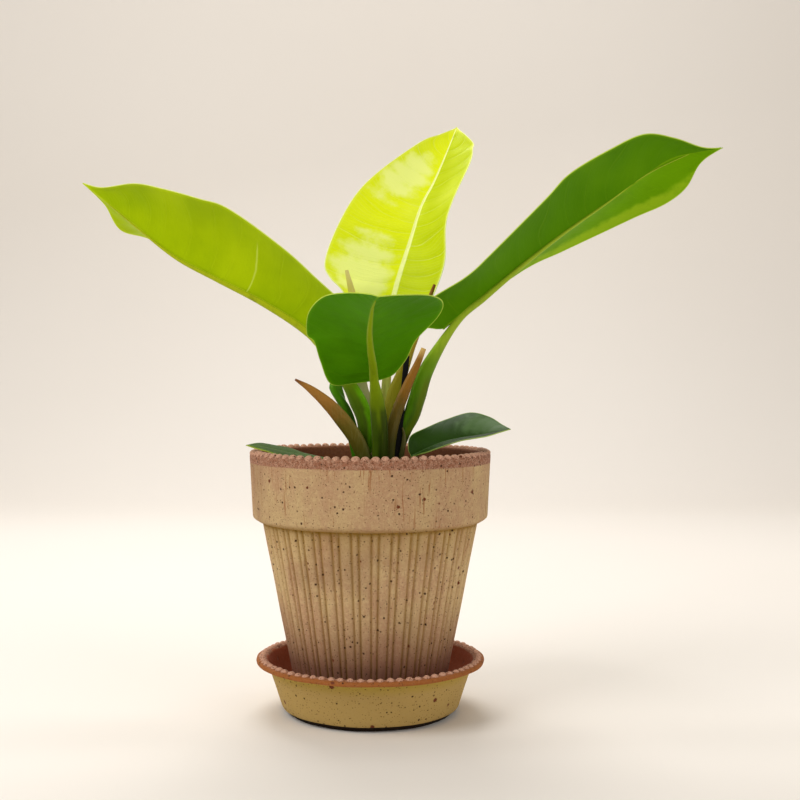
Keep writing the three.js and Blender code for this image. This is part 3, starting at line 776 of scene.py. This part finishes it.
def blade(leaf, faces):
    """The grid is laid on the leaf's lines, given its veins, and thickened."""
    sheet, flat = grid_sheet("blade", *leaf["grid"])
    side = -2 * flat[:, 0]
    side = np.sign(side) * np.abs(side) ** 1.1  # closer columns at the midrib
    share = flat[:, 1] + 0.5
    share = share - 0.08 * np.sin(2 * math.pi * share)  # closer rows at both ends
    surface, upward, width = blade_points(leaf, blade_lines(leaf), share, side)
    outward = np.abs(side)
    phase = vein_phase(leaf, share, side)
    from_vein = np.abs((phase + 0.5) % 1 - 0.5)
    fade = np.clip(outward / 0.08, 0, 1) * np.clip((1 - outward) / 0.15, 0, 1)
    fade = fade * np.clip(width / 12, 0, 1)
    crease = -np.exp(-((from_vein / VEIN_HALF) ** 2)) * leaf["relief"] * fade
    quilt = np.cos(phase * 2 * math.pi) * -QUILTING * leaf["relief"] * fade
    ripple = np.array([noise.noise(Vector(p) * 0.021 + Vector(leaf["up"]) * 9) for p in surface])
    flutter = ripple * leaf["flutter"] * np.clip(outward, 0, 1) ** 1.5 * np.clip(width / 20, 0, 1)
    ridge = np.exp(-((outward * width / (1.7 - share)) ** 2))
    rib = leaf["rib_ridge"] * ridge * (1 - share * 0.8)
    set_points(sheet, (surface + upward * (crease + quilt + flutter + rib)[:, None]) * MM)
    mark(sheet, "vein", phase)
    mark(sheet, "width", width)
    for face in faces:
        sheet.data.materials.append(face)
    thicken(sheet, BLADE_THICKNESS)
    return sheet


def tube(line, up_base, up_end, half_width, half_depth, channel):
    """The grid is rolled round a line: oval, with a shallow channel along its upper side."""
    sheet, flat = grid_sheet("stalk", STALK_SIDES, STALK_ROWS)
    share = flat[:, 1] + 0.5
    turn = (flat[:, 0] + 0.5) * 2 * math.pi
    centre, left, upward = axes_along(line, share, up_base, up_end)
    from_top = np.angle(np.exp(1j * (turn - math.pi / 2)))
    hollow = channel * np.exp(-((from_top / CHANNEL_HALF) ** 2))
    across = np.cos(turn) * half_width(share)
    height = np.sin(turn) * half_depth(share) * (1 - hollow)
    ends = np.sqrt(np.clip(np.minimum(share, 1 - share) / 0.008, 0, 1))
    points = centre + left * (across * ends)[:, None] + upward * (height * ends)[:, None]
    set_points(sheet, points * MM)
    bpy.ops.object.mode_set(mode="EDIT")
    bpy.ops.mesh.select_all(action="SELECT")
    bpy.ops.mesh.remove_doubles(threshold=2e-6)
    bpy.ops.object.mode_set(mode="OBJECT")
    return sheet


def listed(values):
    """A function that reads evenly spaced values at a share."""
    steps = np.linspace(0, 1, len(values))
    return lambda share: np.interp(share, steps, values)


def length_of(points):
    return np.linalg.norm(np.diff(np.asarray(points, float), axis=0), axis=1).sum()


def stalk(leaf):
    """Petiole and midrib in one: it hangs under the blade and thins to the tip."""
    stations = np.array([0.05, 0.15, 0.3, 0.45, 0.6, 0.75, 0.9])
    on_midrib = np.full(len(stations), 1e-6)
    surface, upward, _ = blade_points(leaf, blade_lines(leaf), stations, on_midrib)
    rib_depth = leaf["depths"][-1] * (1 - stations) ** leaf["rib_taper"] * 0.75 + 0.5
    under = surface - upward * (rib_depth / 2 + 0.15)[:, None]
    path = route(np.vstack([leaf["petiole"], under]))
    petiole = length_of(leaf["petiole"])
    gap = np.linalg.norm(under[0] - leaf["petiole"][-1])
    joint = petiole / (petiole + length_of(under) + gap)

    def half_size(sizes, loss, least):
        """Half of a size at a share of the length, where the blade takes some of it away."""
        size_at = listed(sizes)

        def at(share):
            thin = np.clip((share - joint) / (1 - joint), 0, 1)
            size = size_at(share / joint) * (1 - thin) ** leaf["rib_taper"]
            return (size * (1 - loss * np.clip(thin * 8, 0, 1)) + least) / 2

        return at

    half_width = half_size(leaf["widths"], loss=0.35, least=0.7)
    half_depth = half_size(leaf["depths"], loss=0.25, least=0.5)
    piece = tube(path, leaf["petiole_up"], leaf["up"], half_width, half_depth, leaf["channel"])
    points = points_of(piece) / MM
    from_path = points[:, None, :] - path[None, ::NEAREST_STEP, :]
    nearest = np.argmin((from_path ** 2).sum(axis=2), axis=1) * NEAREST_STEP
    sideways = (points[:, 0] - path[nearest, 0]) * 2 / max(leaf["widths"])
    mark(piece, "along", nearest / (len(path) - 1))
    mark(piece, "across", np.clip(sideways, -1, 1))
    mark(piece, "joint", np.full(len(points), joint))
    return piece


def on_sheet(finish, axis):
    """A piece's own flat coordinates from 0 to 1: X across it and Y along it."""
    return finish.part(finish.read("UV", "ShaderNodeUVMap", {"uv_map": "UVMap"}), axis)


def leaf_face(name, codes, look):
    """One face of a blade; codes: left half, right half, deep, light, vein and edge."""
    left, right, deep, light, vein, edge = [paint(code) for code in codes]
    # The blade glows in its own colour: painted light that stands for light shining through it.
    finish = Finish(
        name, Specular_IOR_Level=look["gloss"], Specular_Tint=look["sheen"],
        Emission_Strength=look["glow"],
    )
    place = finish.place()
    sideways = on_sheet(finish, "X")
    across = abs(sideways * 2 - 1)
    along = on_sheet(finish, "Y")
    phase = finish.attribute("vein")
    width = finish.attribute("width")
    wander = finish.cloud(place, 22, 3, 0.5)
    mottle = finish.cloud(place, 160, 4, 0.6)
    line = abs(finish.math("FRACT", phase + (wander - 0.5) * 0.5 + 0.5) - 0.5)
    main_veins = finish.smooth(line, 0.045, 0.0) * finish.smooth(wander, 0.3, 0.6)
    fine = abs(finish.math("FRACT", phase * 6 + (mottle - 0.5) * 0.9) - 0.5)
    fine_veins = finish.smooth(fine, 0.2, 0.0)

    # Where the two half colours differ, the difference is painted light and shade: one half painted
    # lit, the other shaded.
    colour = finish.mix(finish.smooth(sideways, 0.49, 0.51), left, right)
    colour = finish.mix(finish.smooth(wander, 0.4, 0.75) * 0.6, colour, deep)
    young = finish.smooth(finish.cloud(place, 13, 2), 0.5, 0.75) * look["light"]
    colour = finish.mix(young, colour, light)
    colour = finish.mix(finish.smooth(line, 0.0, 0.45) * 0.15 * look["veins"], colour, light)
    colour = finish.mix(fine_veins * 0.1 * look["veins"], colour, vein)
    colour = finish.mix(main_veins * 0.5 * look["veins"], colour, vein)
    crease = finish.smooth(abs(phase - look["crease"]), 0.5, 0.4)
    crease = crease * finish.smooth(line, 0.05, 0.01) * finish.smooth(across, 0.85, 0.7)
    colour = finish.mix(crease * 0.35, colour, edge)
    colour = finish.mix(finish.smooth(mottle, 0.5, 0.8) * 0.14, colour, deep)
    colour = finish.mix(finish.smooth(along, look["tip"], 1.0) * 0.7, colour, light)
    # Pale clouds of painted sheen: painted reflection and light on the blade.
    for middle, far, half_width, half_length in look["painted_sheen"]:
        sideward, onward = (sideways - middle) / half_width, (along - far) / half_length
        reach = sideward * sideward + onward * onward + (mottle - 0.5) * 1.2
        reach = reach + (0.25 - line) * 2.4 * look["veins"]
        colour = finish.mix(finish.smooth(reach, 1.1, 0.2) * 0.6, colour, vein)
    rib_half = finish.smooth(along, 1.0, 0.0) * (look["rib"] - 0.4) + 0.4
    rib = finish.smooth(across * width / rib_half, 1.3, 0.7)
    colour = finish.mix(rib * look["rib_show"], colour, vein)
    from_edge = (1 - across) * width
    colour = finish.mix(finish.smooth(from_edge, 3.2, 0.3) * 0.35, colour, light)
    colour = finish.mix(finish.smooth(from_edge, 0.7, 0.25) * 0.8, colour, edge)
    finish.wear("Base Color", colour)
    finish.wear("Emission Color", colour)
    finish.wear("Roughness", look["roughness"] + mottle * 0.16 - main_veins * 0.05)
    relief = mottle * 0.35 + fine_veins * 0.2 - main_veins * 0.5
    relief = relief + finish.cloud(place, 900, 2) * 0.12
    finish.bump(relief, 0.00035, look["bump"])
    return finish.material


def stalk_skin(name, codes):
    """Skin of a petiole; codes: foot, middle, top, under the blade, left side and right side."""
    foot, middle, top, rib, left, right = [paint(code) for code in codes]
    finish = Finish(name, Specular_IOR_Level=0.3, Specular_Tint=(0.8, 1, 0.25, 1))
    along = finish.attribute("along") / finish.attribute("joint")
    across = finish.attribute("across")
    streak = finish.cloud(finish.place((1, 1, 0.1)), 420, 4, 0.6)
    blotch = finish.cloud(finish.place(), 70, 3, 0.6)
    petiole = finish.smooth(along, 1.0, 0.8)
    # Darker towards the foot: painted shade, where the rim and the leaves above shade the stalks.
    colour = finish.mix(finish.smooth(along + (blotch - 0.5) * 0.15, 0.1, 0.5), foot, middle)
    colour = finish.mix(finish.smooth(along, 0.5, 0.95), colour, top)
    colour = finish.mix(finish.smooth(across, 0.0, 0.45) * petiole * 0.9, colour, right)
    colour = finish.mix(finish.smooth(across, 0.0, -0.45) * petiole * 0.9, colour, left)
    colour = finish.mix(finish.smooth(along, 0.15, -0.05) * 0.7, colour, foot)
    colour = finish.mix(finish.smooth(along, 0.9, 1.35), colour, rib)
    colour = finish.mix(finish.smooth(streak, 0.5, 0.7) * 0.2, colour, top)
    colour = finish.mix(finish.smooth(blotch, 0.55, 0.75) * 0.25, colour, foot)
    specks = finish.dots(finish.place(), 6, 0.25, 0.35)
    colour = finish.mix(specks * 0.6, colour, paint("b9c67a"))
    finish.wear("Base Color", colour)
    finish.wear("Roughness", streak * 0.15 + 0.36)
    finish.bump(streak * 0.6 + blotch * 0.3, 0.0003)
    return finish.material


# Looks of the two faces. A crease is the count of the vein that it follows, and a painted sheen is
# a pale cloud of painted light and reflection: its middle and its half sizes across and along the
# blade. All lines are in millimetres.
NO_CREASE = -9
UPPER = {
    "gloss": 0.4, "sheen": (0.8, 1, 0.4, 1), "light": 0.3, "veins": 0.35, "tip": 0.9, "rib": 2.2,
    "rib_show": 0.6, "roughness": 0.3, "bump": 0.6, "glow": 0.05, "crease": NO_CREASE, "painted_sheen": (),
}
UNDER = {
    "gloss": 0.25, "sheen": (0.8, 1, 0.12, 1), "light": 0.4, "veins": 0.22, "tip": 0.92, "rib": 3.0,
    "rib_show": 0.35, "roughness": 0.42, "bump": 0.6, "glow": 0.08, "crease": NO_CREASE,
    "painted_sheen": (),
}
MATURE_GREEN = ("4b8a04", "4b8a04", "3f7803", "7cb40c", "9cc030", "c4d650")
SHADED_GREEN = ("2f6a06", "2f6a06", "265a05", "4a8a10", "7aa830", "a8c04a")
SMALL_STALK = ("1a2406", "2f4010", "3a5014", "5a7420", "33460c", "2a3a0c")
LEAVES = {
    "leaf_front": {
        "petiole": [(6, -17, 176), (7, -18, 191), (7, -19, 210), (5, -22, 230)],
        "petiole_up": (0, 1, 0.2), "widths": [10.5, 10.5, 11.5, 11.5, 10.5], "depths": [8, 8, 7],
        "channel": 0.25, "up": (0, 0.5, 0.85), "bulge": (0.06, 0.06), "rib_taper": 0.9,
        "midrib": [
            (2, -25, 246), (1, -45, 261), (-1, -68, 275), (0, -95, 289), (2, -122, 297),
            (5, -148, 300),
        ],
        "left": [
            (8, -22, 247), (17, -22, 251), (26, -31, 262), (33, -45, 276), (47, -64, 291),
            (50, -80, 300), (41, -98, 304), (23, -124, 303),
        ],
        "right": [
            (-13, -21, 244), (-29, -22, 244), (-36, -32, 260), (-40, -49, 274), (-45, -52, 279),
            (-43, -72, 293), (-32, -96, 303), (-16, -122, 304), (-1, -143, 302),
        ],
        "grid": (64, 120), "veins": 12, "vein_lean": 1.6, "relief": 0.22, "flutter": 0.6,
        "rib_ridge": -0.5, "upper": MATURE_GREEN, "upper_look": UPPER,
        "under": ("468203", "468403", "3a6e02", "62a006", "80ac1c", "bcd650"),
        "under_look": {**UNDER, "gloss": 0.1, "veins": 0.15},
        "skin": ("060c01", "2c3e06", "6c8408", "8aa412", "3c5406", "2c3c06"),
    },
    "leaf_left": {
        "petiole": [(-5, -8, 178), (-3, -8, 206), (-4, -7, 218), (-9, -6, 230), (-17, -5, 245)],
        "petiole_up": (0.2, 1, 0.2), "widths": [7, 9, 12.5, 13, 10], "depths": [5, 6, 6],
        "channel": 0.35, "up": (0.2, 0.45, 0.85), "bulge": (0.08, 0.06), "rib_taper": 0.9,
        "midrib": [
            (-27, -5, 264), (-49, -3, 285), (-84, 0, 307), (-128, 3, 329), (-154, 5, 344),
            (-182, 8, 367), (-218, 12, 396),
        ],
        "left": [
            (-17, -12, 269), (-13, -17, 287), (-19, -19, 302), (-40, -21, 322), (-64, -22, 344),
            (-103, -22, 372), (-125, -20, 380), (-152, -14, 388), (-175, -7, 393), (-202, 6, 392),
        ],
        "right": [
            (-40, 8, 271), (-52, 28, 283), (-75, 42, 300), (-102, 47, 317), (-122, 45, 326),
            (-149, 39, 342), (-171, 32, 356), (-192, 24, 362), (-202, 15, 380),
        ],
        "grid": (64, 150), "veins": 13, "vein_lean": 1.5, "relief": 0.22, "flutter": 1.0,
        "rib_ridge": -0.5, "upper": ("9fb805", "a6bf08", "8fa804", "c2d01e", "d4de50", "e2e88a"),
        "upper_look": UPPER, "under": ("98b002", "9cb404", "7a9802", "b8cc0a", "c4d030", "d8e468"),
        "under_look": {
            **UNDER, "gloss": 0.16, "roughness": 0.34, "glow": 0.16, "veins": 0.1, "crease": 5,
        },
        "skin": ("2a3a0a", "44600a", "5a7a06", "a8b410", "4c6c0a", "66a804"),
    },
    "leaf_right": {
        "petiole": [
            (18, 0, 177), (19, -1, 192), (25, 0, 209), (31, 1, 220), (35, 2, 232), (44, 5, 257),
        ],
        "petiole_up": (-0.2, 0.9, 0.3), "widths": [9.5, 11.5, 12.5, 12.5, 11], "depths": [8, 8, 7],
        "channel": 0.2, "up": (-0.4, 0.55, 0.7), "bulge": (0.06, 0.06), "rib_taper": 1.7,
        "midrib": [
            (55, 8, 285), (81, 9, 307), (119, 10, 338), (154, 12, 364), (194, 14, 391),
            (225, 17, 413), (245, 20, 420), (271, 24, 425),
        ],
        "left": [
            (49, 14, 287), (53, 28, 298), (77, 38, 304), (121, 42, 333), (149, 42, 346),
            (172, 40, 357), (204, 36, 372), (229, 32, 383), (244, 28, 395), (254, 24, 413),
        ],
        "right": [
            (48, 4, 285), (38, -3, 288), (40, -9, 303), (70, -16, 322), (88, -18, 338),
            (128, -19, 379), (147, -18, 399), (179, -13, 418), (205, -5, 430), (229, 4, 429),
            (253, 15, 424),
        ],
        "grid": (64, 150), "veins": 13, "vein_lean": 1.5, "relief": 0.22, "flutter": 1.0,
        "rib_ridge": -0.5, "upper": MATURE_GREEN, "upper_look": UPPER,
        # Its halves differ in colour as painted light and shade.
        "under": ("629402", "4a7c02", "3e6e02", "78a80c", "a0c020", "c4d650"),
        "under_look": {
            **UNDER, "gloss": 0.08, "veins": 0.12, "rib": 1.6, "rib_show": 0.25, "light": 0.2,
            "painted_sheen": ((0.02, 0.6, 0.15, 0.26),),
        },
        "skin": ("203004", "3c6006", "5c880a", "98b028", "4c8004", "5c7008"),
    },
    "leaf_top": {
        "petiole": [(6, 16, 176), (9, 16, 204), (11, 18, 227), (13, 22, 254)],
        "petiole_up": (0, -1, 0.2), "widths": [9, 9, 7, 6], "depths": [7, 7, 5], "channel": 0.35,
        "up": (-0.1, -0.9, 0.4), "bulge": (-0.04, -0.04), "rib_taper": 0.9,
        "midrib": [
            (13, 30, 279), (19, 38, 315), (32, 53, 357), (41, 64, 385), (52, 75, 407),
            (63, 88, 433), (72, 103, 456),
        ],
        "left": [
            (4, 26, 270), (-8, 22, 290), (-21, 21, 314), (-31, 23, 325), (-35, 26, 337),
            (-27, 36, 363), (-12, 50, 392), (8, 62, 414), (41, 81, 440), (57, 91, 448),
        ],
        "right": [
            (22, 28, 271), (38, 23, 291), (50, 22, 315), (57, 22, 338), (58, 27, 366),
            (64, 36, 386), (80, 63, 420), (83, 73, 433), (84, 78, 438), (80, 86, 445),
        ],
        "grid": (72, 150), "veins": 15, "vein_lean": 1.2, "relief": 0.35, "flutter": 0.8,
        # Its halves differ in colour as painted light and shade.
        "rib_ridge": 0.5, "upper": ("dce510", "b2c100", "c6d400", "e8ee60", "eef2a4", "f2f4b0"),
        "upper_look": {
            **UPPER, "gloss": 0.16, "sheen": (1, 1, 0.3, 1), "light": 0.5, "veins": 0.45,
            "rib": 3.4, "rib_show": 0.9, "roughness": 0.36, "bump": 0.8, "glow": 0.22,
            "painted_sheen": ((0.23, 0.645, 0.24, 0.1), (0.22, 0.35, 0.22, 0.13)),
        },
        "under": ("cfdb10", "c3d008", "bccc04", "e2ea4a", "eaf07a", "f0f4a0"),
        "under_look": {**UNDER, "glow": 0.2},
        "skin": ("5a6414", "a4ac50", "ccd06c", "e0e27a", "b0b458", "c4ca60"),
    },
    "leaf_behind": {
        "petiole": [(-7, 4, 177), (-11, 4, 197), (-15, 5, 212), (-20, 5, 227), (-26, 6, 241)],
        "petiole_up": (0.1, 0.95, 0.2), "widths": [8, 8.5, 10, 10], "depths": [6, 7, 7],
        "channel": 0.3, "up": (0.1, -0.95, 0.2), "bulge": (0, 0), "rib_taper": 0.9,
        "midrib": [(-26, 7, 250), (-23, 10, 262), (-20, 13, 275), (-20, 15, 286)],
        "left": [(-30, 8, 256), (-27, 9, 266), (-24, 12, 277)],
        "right": [(-21, 8, 256), (-17, 11, 266), (-17, 14, 277)],
        "grid": (32, 50), "veins": 7, "vein_lean": 1.2, "relief": 0.12, "flutter": 0.2,
        "rib_ridge": 0.0, "upper": SHADED_GREEN, "upper_look": {**UPPER, "rib": 1.2},
        "under": SHADED_GREEN, "under_look": {**UNDER, "rib": 1.4},
        "skin": ("1a380a", "356a04", "468206", "549010", "3c740a", "2c5a06"),
    },
    "leaf_small_right": {
        "petiole": [(27, -15, 176), (28, -14, 182)],
        "petiole_up": (0, -0.9, 0.3), "widths": [6, 5], "depths": [5, 4], "channel": 0.2,
        "up": (0, -0.6, 0.8), "bulge": (0.05, 0.05), "rib_taper": 0.9,
        "midrib": [(30, -13, 190), (51, -16, 200), (66, -19, 204), (84, -22, 207), (102, -28, 211)],
        "left": [
            (28, -11, 196), (30, -8, 205), (42, -3, 211), (57, 1, 217), (75, 2, 222), (89, -3, 219),
            (97, -14, 214),
        ],
        "right": [(40, -30, 194), (50, -35, 198), (65, -37, 203), (83, -36, 206), (94, -33, 209)],
        "grid": (48, 90), "veins": 11, "vein_lean": 1.3, "relief": 0.12, "flutter": 0.3,
        "rib_ridge": -0.2, "upper": ("284406", "28420a", "203a04", "3f6420", "688850", "b4cc60"),
        "upper_look": {
            **UPPER, "gloss": 0.12, "veins": 0.15, "tip": 0.95, "rib": 0.9, "rib_show": 0.6,
            "roughness": 0.4, "glow": 0.0, "sheen": (0.8, 1, 0.8, 1),
            "painted_sheen": ((0.25, 0.72, 0.3, 0.26),),
        },
        "under": ("3f620c", "3a5a0a", "2f4c08", "587c1c", "6e8c30", "a8c04a"),
        "under_look": {**UNDER, "veins": 0.4, "tip": 0.95, "rib": 1.4, "glow": 0.0},
        "skin": SMALL_STALK,
    },
    "leaf_small_left": {
        "petiole": [(-11, -6, 178), (-18, -12, 183)],
        "petiole_up": (-0.3, -0.2, 0.9), "widths": [6, 5], "depths": [5, 4], "channel": 0.2,
        "up": (0, -0.2, 0.98), "bulge": (0.05, 0.05), "rib_taper": 0.9,
        "midrib": [
            (-26, -18, 187), (-51, -20, 192), (-66, -21, 195), (-79, -22, 198), (-91, -22, 199),
        ],
        "left": [
            (-33, -27, 187), (-51, -33, 189), (-65, -34, 192), (-75, -32, 195), (-84, -27, 197),
        ],
        "right": [(-34, -9, 189), (-49, -5, 192), (-60, -3, 196), (-71, -4, 198), (-82, -10, 200)],
        "grid": (48, 80), "veins": 11, "vein_lean": 1.3, "relief": 0.1, "flutter": 0.3,
        "rib_ridge": -0.2, "upper": ("34540a", "34540a", "2a4608", "7a9a1e", "6a8a2c", "b0b83c"),
        "upper_look": {
            **UPPER, "gloss": 0.1, "veins": 0.3, "tip": 0.88, "rib": 0.9, "rib_show": 0.4,
            "roughness": 0.5, "glow": 0.0,
        },
        "under": ("3f6a10", "3f6a10", "33590c", "7a9a1e", "7a9a34", "b0b83c"),
        "under_look": {**UNDER, "veins": 0.4, "rib": 1.4, "glow": 0.0}, "skin": SMALL_STALK,
    },
}
for node, leaf in LEAVES.items():
    faces = [
        leaf_face(node + "_upper", leaf["upper"], leaf["upper_look"]),
        leaf_face(node + "_underside", leaf["under"], leaf["under_look"]),
    ]
    face = blade(leaf, faces)
    support = stalk(leaf)
    support.data.materials.append(stalk_skin(node + "_stalk", leaf["skin"]))
    settle(one_piece(node + "_growth", face, support), node)


# Sheaths: papery wrappers that covered the young leaves. Each is a channel that is open towards the
# plant, thick and green at its foot and drying to brown at its point.
SHEATH_GRID = (30, 80)
SHEATH_WRAP = math.radians(250)
SHEATH_THICKNESS = 0.7
SHEATHS = {
    "sheath_front": {
        "points": [
            (-4, -15, 177), (-4, -15, 187), (-8, -16, 198), (-13, -17, 207), (-22, -18, 219),
            (-32, -20, 230), (-44, -21, 240), (-55, -22, 247),
        ],
        "up": ((0.3, 1, 0.2), (0.3, 1, 0.3)), "widths": [11, 12, 12, 12, 10, 6.5, 1.6],
        "depths": [7, 7, 6, 4, 1.4], "colours": ("464a0c", "6e6018", "a4702c", "7a4418", "9c9a5c"),
    },
    "sheath_right": {
        "points": [
            (14, -12, 177), (14, -12, 190), (16, -12, 208), (20, -10, 223), (28, -7, 243),
            (35, -5, 258), (40, -4, 270),
        ],
        "up": ((0, 1, 0), (0, 1, 0.2)), "widths": [8, 8, 8.5, 8, 6, 3.8], "depths": [5, 5, 4, 2.4],
        "colours": ("36420a", "5c4c06", "8c5a0c", "d0a860", "8a6a20"),
    },
    "sheath_tall": {
        "points": [
            (18, 9, 177), (15, 7, 201), (16, 7, 220), (18, 9, 235), (24, 10, 251), (30, 12, 268),
            (35, 13, 281), (49, 15, 319),
        ],
        "up": ((0, 1, 0), (0, 1, 0.2)), "widths": [10, 11.5, 12, 9, 6, 5, 2.2],
        "depths": [5, 5, 3.5, 2.2], "colours": ("6c6a0c", "98900e", "9a7a10", "8a4a10", "b0a430"),
    },
    "sheath_pale": {
        "points": [
            (-2, 13, 177), (-1, 13, 201), (-2, 13, 216), (-4, 13, 231), (-7, 14, 243),
            (-9, 14, 269), (-13, 14, 307), (-18, 14, 330),
        ],
        "up": ((0, 1, 0), (0, 1, 0.2)), "widths": [9, 10, 10.5, 9, 8, 7, 2.6],
        "depths": [5, 5, 4, 3, 1.6], "colours": ("54521a", "a8a870", "dccb66", "e8d488", "dcd8a0"),
    },
    "sheath_short": {
        "points": [(22, -9, 177), (23, -9, 189), (25, -8, 200), (25, -7, 206), (24, -7, 211)],
        "up": ((0, 1, 0), (0, 1, 0)), "widths": [4, 4, 3.6, 1.2], "depths": [2.2, 2.2, 1.2],
        "colours": ("2a2c08", "3c3e0c", "54501a", "6a5e2a", "5c5824"),
    },
}


def sheath_skin(name, codes):
    """Fine ribs run along it; codes: foot, middle, upper, tip and edge."""
    foot, middle, upper, tip, edge = [paint(code) for code in codes]
    finish = Finish(name, Specular_IOR_Level=0.35, Specular_Tint=(1, 0.95, 0.6, 1))
    along = on_sheet(finish, "Y")
    across = on_sheet(finish, "X")
    ribs = finish.cloud(finish.place((1, 1, 0.08)), 700, 4, 0.6)
    blotch = finish.cloud(finish.place(), 120, 4, 0.6)
    colour = finish.mix(finish.smooth(along, 0.1, 0.4), foot, middle)
    colour = finish.mix(finish.smooth(along + (blotch - 0.5) * 0.3, 0.4, 0.75), colour, upper)
    colour = finish.mix(finish.smooth(along, 0.9, 0.99), colour, tip)
    colour = finish.mix(finish.smooth(ribs, 0.5, 0.75) * 0.2, colour, edge)
    colour = finish.mix(finish.smooth(abs(across * 2 - 1), 0.72, 0.98) * 0.6, colour, edge)
    finish.wear("Base Color", colour)
    finish.wear("Roughness", 0.36 + ribs * 0.25)
    finish.bump(ribs * 0.7 + blotch * 0.3, 0.0005)
    return finish.material


def sheath_form(sheath):
    """The grid is bent to a channel round its line and thickened inwards."""
    sheet, flat = grid_sheet("sheath", *SHEATH_GRID)
    share = flat[:, 1] + 0.5
    turn = flat[:, 0] * SHEATH_WRAP
    centre, left, upward = axes_along(route(sheath["points"]), share, *sheath["up"])
    half_depth = listed(sheath["depths"])(share) / 2
    across = np.sin(turn) * (listed(sheath["widths"])(share) / 2)
    height = -np.cos(turn) * half_depth
    spots = [Vector((c[0] * 0.06, c[2] * 0.03, t)) for c, t in zip(centre, turn * 2)]
    wrinkle = np.array([noise.noise(spot) for spot in spots]) * 0.3
    lift = (height + wrinkle * half_depth / 3)[:, None]
    set_points(sheet, (centre + left * across[:, None] + upward * lift) * MM)
    thicken(sheet, SHEATH_THICKNESS)
    return sheet


for node, sheath in SHEATHS.items():
    wrapper = sheath_form(sheath)
    wrapper.data.materials.append(sheath_skin(node + "_skin", sheath["colours"]))
    settle(one_piece(node + "_wrapper", wrapper), node)


# Studio: a plain pale floor that sweeps up into a backdrop. The main light is soft and comes from
# the upper left, with a weak one at the right, one behind and one on the backdrop; in metres.
FLOOR_SIZE = 6
FLOOR_MIDDLE = -1.6
SWEEP_STEPS = 12
SWEEP_RADIUS = 0.7
BACKDROP_HEIGHT = 4

fresh()
bpy.ops.mesh.primitive_plane_add(size=FLOOR_SIZE, location=(0, FLOOR_MIDDLE, 0))
floor = bpy.context.object
floor.name = "studio_sweep"
bpy.ops.object.transform_apply(location=True)
bpy.ops.object.mode_set(mode="EDIT")
bpy.ops.mesh.select_all(action="DESELECT")
bpy.ops.object.mode_set(mode="OBJECT")
for edge in floor.data.edges:
    edge.select = all(floor.data.vertices[index].co.y > 0 for index in edge.vertices)
bpy.ops.object.mode_set(mode="EDIT")
for step in range(SWEEP_STEPS):
    turn = (step + 0.5) / SWEEP_STEPS * math.pi / 2
    reach = SWEEP_RADIUS * math.pi / 2 / SWEEP_STEPS
    away = (0, math.cos(turn) * reach, math.sin(turn) * reach)
    bpy.ops.mesh.extrude_region_move(TRANSFORM_OT_translate={"value": away})
bpy.ops.mesh.extrude_region_move(TRANSFORM_OT_translate={"value": (0, 0, BACKDROP_HEIGHT)})
bpy.ops.object.mode_set(mode="OBJECT")
bpy.ops.object.shade_smooth_by_angle(angle=SMOOTH_ANGLE)
paper = Finish("studio_paper", Roughness=0.9, Specular_IOR_Level=0.15)
shades = paint("f0eae2"), paint("ece5dc")
paper.wear("Base Color", paper.mix(paper.cloud(paper.place(), 1.5, 1), *shades))
floor.data.materials.append(paper.material)

world = bpy.data.worlds.new("studio_air")
world.use_nodes = True
world.node_tree.nodes["Background"].inputs["Color"].default_value = paint("f3eee8")
world.node_tree.nodes["Background"].inputs["Strength"].default_value = 0.42
bpy.context.scene.world = world
bpy.context.scene.view_settings.view_transform = "Standard"


def softbox(name, place, target, size, watts):
    light = bpy.data.lights.new(name, "AREA")
    light.shape = "RECTANGLE"
    light.size, light.size_y = size
    light.energy = watts
    lamp = bpy.data.objects.new(name, light)
    bpy.context.collection.objects.link(lamp)
    lamp.location = place
    lamp.rotation_euler = (Vector(target) - Vector(place)).to_track_quat("-Z", "Y").to_euler()


softbox("window_left", (-1.3, -0.9, 1.5), (0, 0, 0.25), (1.1, 1.1), 20.5)
softbox("fill_right", (1.4, -1.1, 0.8), (0, 0, 0.2), (1.2, 1.2), 8)
softbox("top_back", (-0.2, 1.0, 1.6), (0, 0, 0.3), (1.0, 0.8), 14)
softbox("backdrop_wash", (0, 0.5, 2.4), (0, 2.1, 0.7), (2.0, 0.5), 16)


# Camera: level and a little above the pot's rim, as the photograph was taken. The lens is shifted
# so that the pot's axis and the horizon lie at the same pixels as there.
DISTANCE = 0.937
EYE_HEIGHT = 0.2509
SENSOR = 36
LENS_PIXELS = 1250
AXIS_PIXEL = 370.2
HORIZON_PIXEL = 374
PICTURE = 800

camera_data = bpy.data.cameras.new("camera")
camera_data.sensor_width = SENSOR
camera_data.lens = LENS_PIXELS / PICTURE * SENSOR
camera_data.shift_x = (PICTURE / 2 - AXIS_PIXEL) / PICTURE
camera_data.shift_y = (HORIZON_PIXEL - PICTURE / 2) / PICTURE
camera = bpy.data.objects.new("camera", camera_data)
camera.location = (0, -DISTANCE, EYE_HEIGHT)
camera.rotation_euler = (math.radians(90), 0, 0)
bpy.context.collection.objects.link(camera)
bpy.context.scene.camera = camera
